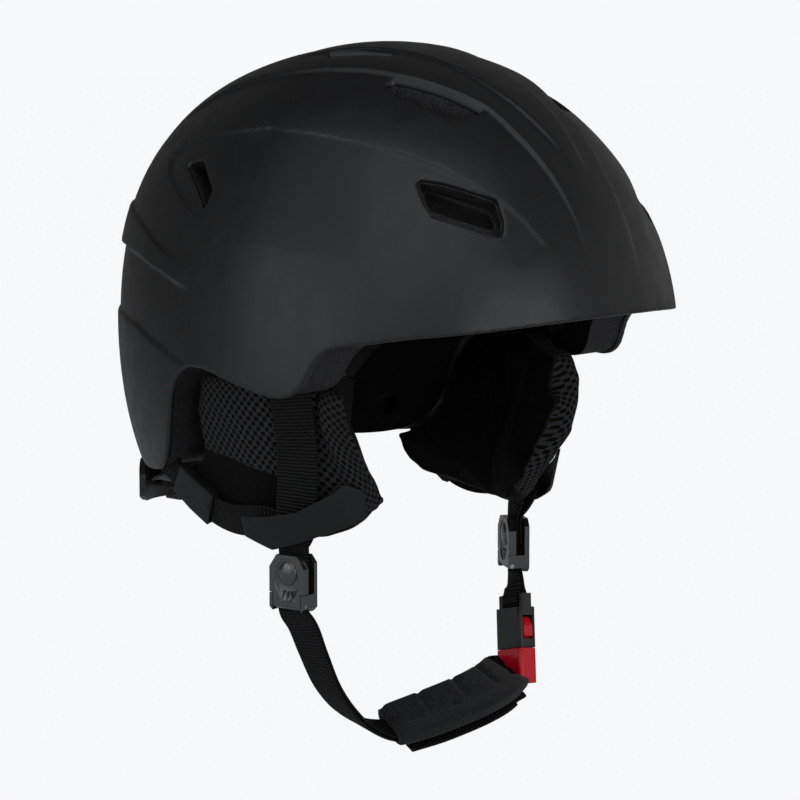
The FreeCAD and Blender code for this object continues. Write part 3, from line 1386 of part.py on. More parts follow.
def mesh_volume(shape):
    """Return the volume enclosed by a shape's mesh, which is sound on long spline faces."""
    points, triangles = shape.tessellate(MESH_TOLERANCE)
    return sum(points[a].dot(points[b].cross(points[c])) for a, b, c in triangles) / 6.0


def check_parts():
    """Stop where an object failed or a node isn't the sound solids that it should be."""
    faults = ["%s failed" % item.Name for item in document.Objects
              if "Invalid" in item.State or "Error" in item.State]
    centres = {}
    for node, (feature, pieces) in PARTS.items():
        shape = feature.Shape
        if shape.isNull() or not shape.isValid():
            faults.append(node + " is null or not valid")
        elif len(shape.Solids) != pieces:
            faults.append("%s has %d solids, not %d" % (node, len(shape.Solids), pieces))
        elif mesh_volume(shape) <= 1.0:
            faults.append(node + " encloses nothing")
        else:
            box = shape.BoundBox
            place = tuple(round(value, 1) for value in (*box.Center, box.DiagonalLength))
            if place in centres:
                faults.append("%s lies in the place of %s" % (node, centres[place]))
            centres[place] = node
    if faults:
        raise RuntimeError("; ".join(faults))


def export_parts():
    """Write each node to its own STEP file, and read it back."""
    os.makedirs("parts", exist_ok=True)
    for node, (feature, pieces) in PARTS.items():
        path = "parts/%s.step" % node
        feature.Shape.exportStep(path)
        written = Part.read(path)
        if len(written.Solids) != pieces or not all(shell.isClosed() for shell in written.Shells):
            raise RuntimeError(path + " doesn't hold its closed solids")


outer_shell()
strap_slots = straps()
strap_fittings()
stud_sockets = ear_pads()
comfort_pads()
cradle_slots = cradle()
impact_liner(strap_slots + stud_sockets + cradle_slots)
housing()
dial_mechanism()
dividers()
buckle_female()
buckle_male()
loop_strap()
chin_strap()
document.recompute()
check_parts()
export_parts()
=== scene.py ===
"""Looks of a ski helmet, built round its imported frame.  Lengths are in metres.

The front of the helmet faces -Y, up is +Z and the wearer's right is -X.
"""
import logging
import math
from dataclasses import dataclass
from enum import Enum

import bmesh
import bpy
import numpy as np
from mathutils import Matrix, Vector


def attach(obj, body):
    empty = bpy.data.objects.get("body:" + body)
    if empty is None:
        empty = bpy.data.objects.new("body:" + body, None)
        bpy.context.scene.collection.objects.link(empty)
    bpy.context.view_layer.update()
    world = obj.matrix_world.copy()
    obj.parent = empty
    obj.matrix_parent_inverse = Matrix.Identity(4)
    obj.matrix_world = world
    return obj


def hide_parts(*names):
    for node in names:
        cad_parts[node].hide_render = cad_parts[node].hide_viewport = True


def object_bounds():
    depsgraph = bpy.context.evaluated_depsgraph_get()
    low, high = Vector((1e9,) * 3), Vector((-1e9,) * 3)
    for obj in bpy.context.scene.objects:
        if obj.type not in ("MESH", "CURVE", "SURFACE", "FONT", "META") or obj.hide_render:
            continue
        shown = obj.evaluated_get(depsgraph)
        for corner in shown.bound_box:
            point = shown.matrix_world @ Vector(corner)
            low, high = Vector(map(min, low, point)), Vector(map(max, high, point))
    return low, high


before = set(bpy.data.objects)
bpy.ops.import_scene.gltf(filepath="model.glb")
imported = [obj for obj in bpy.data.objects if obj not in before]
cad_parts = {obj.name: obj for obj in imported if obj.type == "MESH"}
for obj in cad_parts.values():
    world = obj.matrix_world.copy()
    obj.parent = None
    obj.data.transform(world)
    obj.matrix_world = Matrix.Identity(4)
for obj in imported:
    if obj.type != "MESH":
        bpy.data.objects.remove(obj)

Mesh = bpy.types.Mesh
Socket = bpy.types.NodeSocket

CAD_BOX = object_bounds()
LOG = logging.getLogger("helmet")
MM = 0.001
ROOT = "helmet"
PALE = (0.939, 0.947, 0.965, 1.0)
WELD = 1e-6


class Side(Enum):
    """Which side of the wearer a piece is on; the value is the sign of its X."""
    RIGHT = -1
    LEFT = 1

    @property
    def tag(self) -> str:
        """Return the side's word in piece names."""
        return self.name.lower()


# --- Materials ---
def scaled(colour: tuple, factor: float) -> tuple:
    """Return a colour made darker or lighter."""
    return tuple(min(1.0, value * factor) for value in colour)


class Nodes:
    """A node tree under construction."""

    def __init__(self, tree: bpy.types.NodeTree) -> None:
        """Work on a tree."""
        self.tree = tree

    def add(self, kind: str, inputs: dict | None = None, **facts) -> bpy.types.Node:
        """Return a new node.

        Args:
            kind: the node's type without its ShaderNode prefix.
            inputs: values or sockets, by input name or number.
            facts: the node's own properties.
        """
        node = self.tree.nodes.new("ShaderNode" + kind)
        for name, value in facts.items():
            setattr(node, name, value)
        for name, value in (inputs or {}).items():
            self.set(node.inputs[name], value)
        return node

    def set(self, socket: Socket, value) -> None:
        """Give a socket a value, or a link where the value is a socket."""
        if isinstance(value, Socket):
            self.tree.links.new(value, socket)
        else:
            socket.default_value = value

    def maths(self, operation: str, first, second=0.0) -> Socket:
        """Return the result of one Math node."""
        return self.add("Math", {0: first, 1: second}, operation=operation).outputs[0]

    def place(self, scale: float = 1.0) -> Socket:
        """Return object coordinates in metres, times a scale."""
        found = self.add("TexCoord").outputs["Object"]
        return self.add("Mapping", {"Vector": found, "Scale": (scale,) * 3}).outputs[0]

    def noise(self, scale: float, detail: float = 3.0, where=None) -> Socket:
        """Return a noise factor; scale is in cells per metre."""
        vector = self.place() if where is None else where
        return self.add("TexNoise", {"Vector": vector, "Scale": scale, "Detail": detail}).outputs["Fac"]

    def ramp(self, factor, low: tuple, high: tuple, start: float = 0.0, end: float = 1.0):
        """Return a colour between low and high as the factor goes from start to end."""
        node = self.add("ValToRGB", {"Fac": factor})
        node.color_ramp.elements[0].position = start
        node.color_ramp.elements[0].color = (*low, 1.0)
        node.color_ramp.elements[1].position = end
        node.color_ramp.elements[1].color = (*high, 1.0)
        return node.outputs["Color"]

    def mix(self, factor, first, second) -> Socket:
        """Return a colour between two, by a factor."""
        node = self.add("Mix", {0: factor, 6: first, 7: second}, data_type="RGBA")
        return node.outputs[2]

    def span(self, factor, from_low: float, from_high: float, to_low=0.0, to_high=1.0,
             kind: str = "SMOOTHSTEP") -> Socket:
        """Return the factor moved from one range to another."""
        return self.add("MapRange", {"Value": factor, "From Min": from_low, "From Max": from_high,
                                     "To Min": to_low, "To Max": to_high},
                        interpolation_type=kind).outputs["Result"]

    def bump(self, height, distance: float, strength: float = 1.0, under=None) -> Socket:
        """Return a normal bumped by a height; distance is in metres."""
        inputs = {"Height": height, "Distance": distance, "Strength": strength}
        if under is not None:
            inputs["Normal"] = under
        return self.add("Bump", inputs).outputs["Normal"]


class Desk(Nodes):
    """A material under construction, with its nodes and its Principled shader."""

    def __init__(self, name: str) -> None:
        """Start a material of a name."""
        self.material = bpy.data.materials.new(name)
        self.material.use_nodes = True
        super().__init__(self.material.node_tree)
        self.shader = self.tree.nodes["Principled BSDF"]

    def dress(self, **values) -> None:
        """Set the shader's inputs by name, with _ for each space."""
        for name, value in values.items():
            self.set(self.shader.inputs[name.replace("_", " ")], value)


@dataclass(frozen=True)
class Moulded:
    """Moulded plastic, from matt paint to gloss, with a fine skin and faint handling marks."""
    name: str
    colour: tuple
    roughness: float
    grain: float = 2600.0
    depth: float = 0.00003
    specular: float = 0.5
    coat: float = 0.0
    blotches: float = 38.0
    handling: float = 90.0

    def build(self) -> bpy.types.Material:
        """Return the material."""
        desk = Desk(self.name)
        tone = desk.ramp(desk.noise(self.blotches, 4.0), scaled(self.colour, 0.95),
                         scaled(self.colour, 1.05), 0.3, 0.7)
        worn = desk.span(desk.noise(self.handling, 5.0), 0.3, 0.7, self.roughness * 0.9,
                         min(1.0, self.roughness * 1.12))
        desk.dress(Base_Color=tone, Roughness=worn, Specular_IOR_Level=self.specular,
                   Coat_Weight=self.coat, Coat_Roughness=0.12,
                   Normal=desk.bump(desk.noise(self.grain, 2.0), self.depth, 0.6))
        return desk.material


@dataclass(frozen=True)
class BeadFoam:
    """Expanded foam: pressed beads with fine gaps between them, and painted shade where it faces the head.

    It faces the head where its normal points back at the origin: facing is the range of the normal's
    share of the outward direction over which the painted shade comes in.
    """
    name: str = "bead_foam"
    bead: float = 0.0022
    gap: float = 0.14
    colour: tuple = (0.014, 0.014, 0.015)
    # painted shade: the near-black colour given to the faces inside the helmet, where shade falls
    inside: tuple = (0.0012, 0.0012, 0.0013, 1.0)
    facing: tuple = (-0.25, -0.6)

    def build(self) -> bpy.types.Material:
        """Return the material."""
        desk = Desk(self.name)
        where = desk.place()
        cells = desk.add("TexVoronoi", {"Vector": where, "Scale": 1.0 / self.bead},
                         feature="DISTANCE_TO_EDGE")
        tone = desk.add("TexVoronoi", {"Vector": where, "Scale": 1.0 / self.bead})
        seam = desk.span(cells.outputs["Distance"], 0.0, self.gap)
        shade = desk.maths("MULTIPLY_ADD", seam, 0.6)
        grey = desk.add("SeparateColor", {"Color": tone.outputs["Color"]}).outputs["Red"]
        mixed = desk.maths("MULTIPLY", shade, desk.span(grey, 0.0, 1.0, 0.6, 1.4))
        beads = desk.ramp(mixed, scaled(self.colour, 0.5), scaled(self.colour, 1.7), 0.1, 1.2)
        outward = desk.add("VectorMath", {0: desk.place()}, operation="NORMALIZE").outputs["Vector"]
        faced = desk.add("VectorMath", {0: outward, 1: desk.add("TexCoord").outputs["Normal"]},
                         operation="DOT_PRODUCT").outputs["Value"]
        # inner is the share of painted shade, from how far a face looks in towards the head
        inner = desk.span(faced, *self.facing)
        desk.dress(Base_Color=desk.mix(inner, beads, self.inside),
                   Roughness=desk.span(inner, 0.0, 1.0, 0.62, 0.95), Specular_IOR_Level=0.25,
                   Normal=desk.bump(seam, 0.0002, 0.8))
        return desk.material


class Cloth:
    """Shared steps of the fabrics; scales are in cells per metre."""
    fine = 5200.0
    coarse = 900.0
    nap = 700.0

    def fibres(self, desk: Desk, depth: float) -> Socket:
        """Return a normal roughened by short fibres."""
        fibre = desk.maths("ADD", desk.noise(self.fine, 2.0), desk.noise(self.coarse, 3.0))
        return desk.bump(fibre, depth, 0.7)

    def brushed(self, desk: Desk, dark: tuple, light: tuple) -> Socket:
        """Return the tone of a brushed nap."""
        return desk.ramp(desk.noise(self.nap, 5.0), dark, light, 0.3, 0.75)

    def threads(self, desk: Desk) -> tuple[Socket, Socket]:
        """Return the two coordinates of the piece's UV map, in metres."""
        found = desk.add("UVMap", uv_map="UVMap").outputs["UV"]
        split = desk.add("SeparateXYZ", {"Vector": found})
        return split.outputs["X"], split.outputs["Y"]

    def wave(self, desk: Desk, kind: str, place, run: float) -> Socket:
        """Return the sine or cosine of a place, one turn to each run in metres."""
        return desk.maths(kind, desk.maths("MULTIPLY", place, 2 * math.pi / run))


@dataclass(frozen=True)
class Fleece(Cloth):
    """Short brushed fleece."""
    name: str = "fleece"
    colour: tuple = (0.0045, 0.0045, 0.005)
    sheen: float = 0.20

    def build(self) -> bpy.types.Material:
        """Return the material."""
        desk = Desk(self.name)
        tone = self.brushed(desk, scaled(self.colour, 0.6), scaled(self.colour, 1.7))
        desk.dress(Base_Color=tone, Roughness=0.95, Specular_IOR_Level=0.12, Sheen_Weight=self.sheen,
                   Sheen_Roughness=0.5, Normal=self.fibres(desk, 0.0002))
        return desk.material


@dataclass(frozen=True)
class AirMesh(Cloth):
    """Knitted spacer mesh with rows of oval holes, over fleece where the piece's zone is 0.

    The holes are the peaks of cos(2 pi u / pitch) * cos(pi v / row), a staggered lattice on the UV map, and
    are coloured near black as painted shade.
    """
    name: str = "air_mesh"
    pitch: float = 0.0039
    row: float = 0.0022
    yarn: tuple = (0.026, 0.0265, 0.028)
    fleece: tuple = ((0.0015, 0.0015, 0.0018), (0.005, 0.005, 0.0056))
    # painted shade: the near-black colour of the holes, where shade falls into the knit
    depths: tuple = (0.0012, 0.0012, 0.0013, 1.0)
    brink: tuple = (-0.03, 0.22)
    wander: float = 0.0004
    strands: float = 3800.0

    def build(self) -> bpy.types.Material:
        """Return the material."""
        desk = Desk(self.name)
        u, v = self.threads(desk)
        shift = desk.span(desk.noise(160.0, 2.0), 0.0, 1.0, -self.wander, self.wander)
        across = self.wave(desk, "COSINE", desk.maths("ADD", u, shift), self.pitch)
        along = self.wave(desk, "COSINE", desk.maths("ADD", v, shift), 2 * self.row)
        zone = desk.add("Attribute", attribute_name="zone").outputs["Fac"]
        hole = desk.maths("MULTIPLY", desk.span(desk.maths("MULTIPLY", across, along), *self.brink), zone)
        strand = desk.noise(self.strands, 2.0)
        knit = desk.ramp(strand, scaled(self.yarn, 0.45), scaled(self.yarn, 1.7), 0.3, 0.75)
        ground = desk.mix(zone, self.brushed(desk, *self.fleece), knit)
        # the holes take the painted shade colour
        colour = desk.mix(hole, ground, self.depths)
        rise = desk.maths("SUBTRACT", desk.maths("MULTIPLY", strand, 0.22), hole)
        desk.dress(Base_Color=colour, Roughness=desk.span(hole, 0.0, 1.0, 0.62, 1.0),
                   Specular_IOR_Level=desk.span(zone, 0.0, 1.0, 0.06, 0.2), Sheen_Weight=0.03,
                   Sheen_Roughness=0.4,
                   Normal=desk.bump(rise, 0.0009, 0.9, self.fibres(desk, 0.00012)))
        return desk.material


@dataclass(frozen=True)
class Webbing(Cloth):
    """Woven strap: ribs across it, one per pick, and fainter warp lines, with painted light and shade on
    them; v runs along the strap.
    """
    name: str = "webbing"
    pick: float = 0.0016
    warp_share: float = 0.9
    colour: tuple = (0.0060, 0.0061, 0.0066)
    wander: float = 0.0003

    def build(self) -> bpy.types.Material:
        """Return the material."""
        desk = Desk(self.name)
        u, v = self.threads(desk)
        shift = desk.span(desk.noise(260.0, 2.0), 0.0, 1.0, -self.wander, self.wander)
        rib = self.wave(desk, "SINE", desk.maths("ADD", v, shift), self.pick)
        warp = self.wave(desk, "SINE", u, self.pick * self.warp_share)
        weave = desk.maths("ADD", rib, desk.maths("MULTIPLY", warp, 0.25))
        # painted light and shade: the weave's crests are coloured lighter and its grooves darker; the same
        # pattern also bumps the surface
        lit = desk.span(weave, -1.0, 1.1)
        tone = desk.ramp(lit, scaled(self.colour, 0.2), scaled(self.colour, 2.6))
        desk.dress(Base_Color=tone, Roughness=0.58, Specular_IOR_Level=0.15,
                   Normal=desk.bump(lit, 0.0005, 1.0, self.fibres(desk, 0.00005)))
        return desk.material


@dataclass(frozen=True)
class Metal:
    """Plain satin steel of pins, rivets and screws."""
    name: str = "steel"
    colour: tuple = (0.42, 0.42, 0.43)

    def build(self) -> bpy.types.Material:
        """Return the material."""
        desk = Desk(self.name)
        tone = desk.ramp(desk.noise(400.0), scaled(self.colour, 0.8), self.colour, 0.3, 0.7)
        desk.dress(Base_Color=tone, Metallic=1.0,
                   Roughness=desk.span(desk.noise(900.0), 0.2, 0.8, 0.26, 0.4))
        return desk.material


FINISHES = {
    "shell": Moulded("shell_matt", (0.0076, 0.0079, 0.0087), 0.37, 1500.0, 0.00002),
    "foam": BeadFoam(),
    "mesh": AirMesh(),
    "fleece": Fleece(),
    "quilt": Fleece("quilted_cloth", (0.0185, 0.0190, 0.0204), 0.12),
    "webbing": Webbing(),
    "rubber": Moulded("rubber", (0.0045, 0.0047, 0.0052), 0.50, 900.0, 0.00006, 0.4),
    "gloss": Moulded("gloss_plastic", (0.0100, 0.0102, 0.0110), 0.16, 700.0, 0.00001, 1.0, 1.0),
    "satin": Moulded("satin_plastic", (0.0060, 0.0060, 0.0066), 0.34, 1800.0),
    "red": Moulded("red_plastic", (0.80, 0.006, 0.022), 0.26, 900.0, 0.00001, 0.35),
    "steel": Metal(),
}


# --- Mesh helpers ---
def new_piece(name: str, mesh: Mesh, finish: bpy.types.Material,
              stands_for: tuple) -> bpy.types.Object:
    """Make a finished piece that rides on the helmet.

    It gets one material slot with its finish, and it stands for the nodes of the frame that it replaces,
    which are hidden.
    """
    piece = bpy.data.objects.new(name, mesh)
    bpy.context.scene.collection.objects.link(piece)
    mesh.materials.clear()
    mesh.materials.append(finish)
    mesh.polygons.foreach_set("use_smooth", [True] * len(mesh.polygons))
    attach(piece, ROOT)
    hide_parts(*stands_for)
    LOG.info("%s: %d faces", name, len(mesh.polygons))
    return piece


def evaluated(piece: bpy.types.Object) -> Mesh:
    """Return a new mesh with the piece's modifiers worked out."""
    graph = bpy.context.evaluated_depsgraph_get()
    return bpy.data.meshes.new_from_object(piece.evaluated_get(graph))


def points_of(mesh: Mesh, fact: str = "co") -> np.ndarray:
    """Return the mesh's points, or another of their vectors, as an N x 3 array."""
    flat = np.empty(len(mesh.vertices) * 3)
    mesh.vertices.foreach_get(fact, flat)
    return flat.reshape(-1, 3)


def set_points(mesh: Mesh, points: np.ndarray) -> None:
    """Move the mesh's points."""
    mesh.vertices.foreach_set("co", points.ravel())
    mesh.update()


def swell(mesh: Mesh, rise) -> None:
    """Move the mesh's points along their normals."""
    set_points(mesh, points_of(mesh) + points_of(mesh, "normal") * rise)


def set_uv(mesh: Mesh, uv: np.ndarray) -> None:
    """Write a UV map from one pair of numbers per point."""
    corners = np.empty(len(mesh.loops), dtype=np.int64)
    mesh.loops.foreach_get("vertex_index", corners)
    layer = mesh.uv_layers.get("UVMap") or mesh.uv_layers.new(name="UVMap")
    layer.data.foreach_set("uv", uv[corners].ravel())


def merged(name: str, meshes: list, weld: float = 0.0) -> Mesh:
    """Return several meshes as one, with points closer than a weld distance joined."""
    work = bmesh.new()
    for mesh in meshes:
        work.from_mesh(mesh)
    if weld:
        bmesh.ops.remove_doubles(work, verts=work.verts, dist=weld)
    result = bpy.data.meshes.new(name)
    work.to_mesh(result)
    work.free()
    return result


def joined_copy(*nodes: str) -> Mesh:
    """Return one merged mesh of some of the frame's nodes."""
    return merged(nodes[0] + "_copy", [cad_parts[node].data for node in nodes], WELD)


def worked(mesh: Mesh, *steps: tuple) -> Mesh:
    """Return a mesh after some modifiers, each given as its type and its settings."""
    bench = bpy.data.objects.new("bench", mesh)
    bpy.context.scene.collection.objects.link(bench)
    for kind, settings in steps:
        step = bench.modifiers.new(kind.title(), kind)
        for name, value in settings.items():
            setattr(step, name, value)
    result = evaluated(bench)
    bpy.data.objects.remove(bench)
    return result


@dataclass(frozen=True)
class Stuffing:
    """How a plain block is turned into a stuffed form, by a cloth simulation with pressure inside."""
    voxel: float = 0.004
    shrink: float = 0.0006
    cap: float = 0.0015
    finer: int = 1
    pressure: float = 4.0
    frames: int = 20

    def inflate(self, mesh: Mesh) -> Mesh:
        """Return the stuffed form of a block, drawn in first so that it ends at about its own size."""
        start = worked(mesh, ("REMESH", {"mode": "VOXEL", "voxel_size": self.voxel}),
                       ("SMOOTH", {"factor": 0.5, "iterations": 3}))
        swell(start, -self.shrink)
        before = points_of(start)
        move = self.simulated(start) - before
        length = np.linalg.norm(move, axis=1, keepdims=True)
        move *= np.minimum(1.0, self.cap / np.maximum(length, 1e-9))
        set_points(start, before + move)
        return worked(start, ("SMOOTH", {"factor": 0.5, "iterations": 2}),
                      ("SUBSURF", {"levels": self.finer, "render_levels": self.finer}))

    def simulated(self, mesh: Mesh) -> np.ndarray:
        """Return the mesh's points after the simulation."""
        scene = bpy.context.scene
        bench = bpy.data.objects.new("bench", mesh)
        scene.collection.objects.link(bench)
        cloth = bench.modifiers.new("Cloth", "CLOTH")
        cloth.settings.use_pressure = True
        cloth.settings.uniform_pressure_force = self.pressure
        cloth.settings.effector_weights.gravity = 0.0
        cloth.settings.quality = 5
        for number in range(1, self.frames + 1):
            scene.frame_set(number)
        swollen = points_of(evaluated(bench))
        bpy.data.objects.remove(bench)
        scene.frame_set(1)
        return swollen


def grid_mesh(name: str, grid: np.ndarray, uv: np.ndarray, rows_join: bool = False) -> Mesh:
    """Return a closed mesh, with faces pointing out, from a grid of points whose every row is a ring.

    Args:
        name: the mesh's name.
        grid: rows x columns x 3 points.
        uv: rows x columns x 2 coordinates.
        rows_join: whether the last row joins the first; if not, each is closed with a face.
    """
    rows, columns = grid.shape[:2]
    i, j = np.meshgrid(np.arange(rows if rows_join else rows - 1), np.arange(columns), indexing="ij")
    below, right = (i + 1) % rows, (j + 1) % columns
    faces = np.stack([i * columns + j, i * columns + right, below * columns + right,
                      below * columns + j], axis=-1).reshape(-1, 4).tolist()
    if not rows_join:
        faces.append(list(range(columns))[::-1])
        faces.append([(rows - 1) * columns + index for index in range(columns)])
    mesh = bpy.data.meshes.new(name)
    mesh.from_pydata(grid.reshape(-1, 3), [], faces)
    work = bmesh.new()
    work.from_mesh(mesh)
    bmesh.ops.recalc_face_normals(work, faces=work.faces)
    work.to_mesh(mesh)
    work.free()
    set_uv(mesh, uv.reshape(-1, 2))
    return mesh


def unit(vectors: np.ndarray) -> np.ndarray:
    """Return vectors of length 1."""
    return vectors / np.maximum(np.linalg.norm(vectors, axis=-1, keepdims=True), 1e-12)


def ramped(past: np.ndarray, length: float) -> np.ndarray:
    """Return a straight rise from 0 to 1 over a length past its start."""
    return np.clip(past / length, 0.0, 1.0)


def eased(share: np.ndarray) -> np.ndarray:
    """Return a rise from 0 to 1 that starts and ends level."""
    return share ** 2 * (3 - 2 * share)


def bell(away: np.ndarray, width: float) -> np.ndarray:
    """Return 1 at a line and less away from it, as exp(-(away / width)^2)."""
    return np.exp(-(away / width) ** 2)


def rounded_section(points: int, power: float, first: float = 0.0) -> tuple[np.ndarray, np.ndarray]:
    """Return the section |x|^power + |y|^power = 1, as its points' x and y from the first one's angle.

    A power of 2 makes a circle, and more is squarer.
    """
    turn = np.linspace(0.0, 2 * math.pi, points, endpoint=False) + first
    share = 2 / power
    return (np.sign(np.cos(turn)) * np.abs(np.cos(turn)) ** share,
            np.sign(np.sin(turn)) * np.abs(np.sin(turn)) ** share)


def swept(centres: np.ndarray, axes: tuple, side: np.ndarray, lift: np.ndarray) -> np.ndarray:
    """Return a grid of points: a section's side and lift, along two axes, at each centre."""
    across, up = axes
    return centres[:, None] + across[:, None] * side[..., None] + up[:, None] * lift[..., None]


@dataclass
class Ribbon:
    """Flat webbing along a route of centres, normals and widths."""
    centres: np.ndarray
    normals: np.ndarray
    widths: np.ndarray
    thickness: float
    step: float = 0.0015
    soften: int = 3

    @classmethod
    def through(cls, stations: list, widths, *facts) -> "Ribbon":
        """Return a ribbon through pairs of a place and a normal."""
        return cls(np.array([place for place, _ in stations]), np.array([normal for _, normal in stations]),
                   np.broadcast_to(widths, len(stations)), *facts)

    def sampled(self) -> tuple[np.ndarray, np.ndarray, np.ndarray, np.ndarray]:
        """Return centres, normals, widths and distances at even steps.

        Between two points the route is the cubic that has, at each of them, the slope there of the whole
        route.  Each step is then averaged with its neighbours a few times.
        """
        runs = np.linalg.norm(np.diff(self.centres, axis=0), axis=1)
        far = np.concatenate([[0.0], np.cumsum(runs)])
        at = np.linspace(0.0, far[-1], max(4, int(far[-1] / self.step)))
        table = np.column_stack([self.centres, unit(self.normals), self.widths])
        slope = np.gradient(table, far, axis=0)
        first = np.clip(np.searchsorted(far, at, side="right") - 1, 0, len(far) - 2)
        run = runs[first][:, None]
        share = ((at - far[first]) / runs[first])[:, None]
        walk = ((1 + 2 * share) * (1 - share) ** 2 * table[first]
                + share * (1 - share) ** 2 * run * slope[first]
                + eased(share) * table[first + 1]
                + share ** 2 * (share - 1) * run * slope[first + 1])
        for _ in range(self.soften):
            walk[1:-1] = (walk[:-2] + 2 * walk[1:-1] + walk[2:]) / 4
        return walk[:, :3], unit(walk[:, 3:6]), walk[:, 6], at

    @staticmethod
    def axes(centres: np.ndarray, normals: np.ndarray) -> tuple[np.ndarray, np.ndarray]:
        """Return the directions across the ribbon and out of its face."""
        tangents = unit(np.gradient(centres, axis=0))
        across = unit(np.cross(normals, tangents))
        return across, np.cross(tangents, across)

    def mesh(self, name: str) -> Mesh:
        """Return the ribbon's mesh: a squarish rounded section carried along the route."""
        centres, normals, widths, at = self.sampled()
        side, lift = rounded_section(24, 6, math.pi / 24)
        side = side * widths[:, None] / 2
        grid = swept(centres, self.axes(centres, normals), side, lift * self.thickness / 2)
        return grid_mesh(name, grid, np.stack(np.broadcast_arrays(side, at[:, None]), axis=-1))


# --- Shell and liner ---
@dataclass
class Shell:
    """The outer shell, with its steps softened as paint and moulding leave them."""
    voxel: float = 0.00075
    rounds: int = 7
    keep: float = 0.13
    inward: float = 0.990

    def build(self, finishes: dict) -> None:
        """Make the shell from its node.

        A second copy, drawn in towards the head, thickens the wall inwards, where the liner hides it, so
        that the remesh keeps the thin floors of the channels.
        """
        outer = joined_copy("outer_shell")
        inner = joined_copy("outer_shell")
        set_points(inner, points_of(inner) * self.inward)
        mesh = worked(merged("shell_block", [outer, inner]),
                      ("REMESH", {"mode": "VOXEL", "voxel_size": self.voxel}),
                      ("SMOOTH", {"factor": 0.5, "iterations": self.rounds}),
                      ("DECIMATE", {"ratio": self.keep}))
        new_piece("shell_skin", mesh, finishes["shell"], ("outer_shell",))


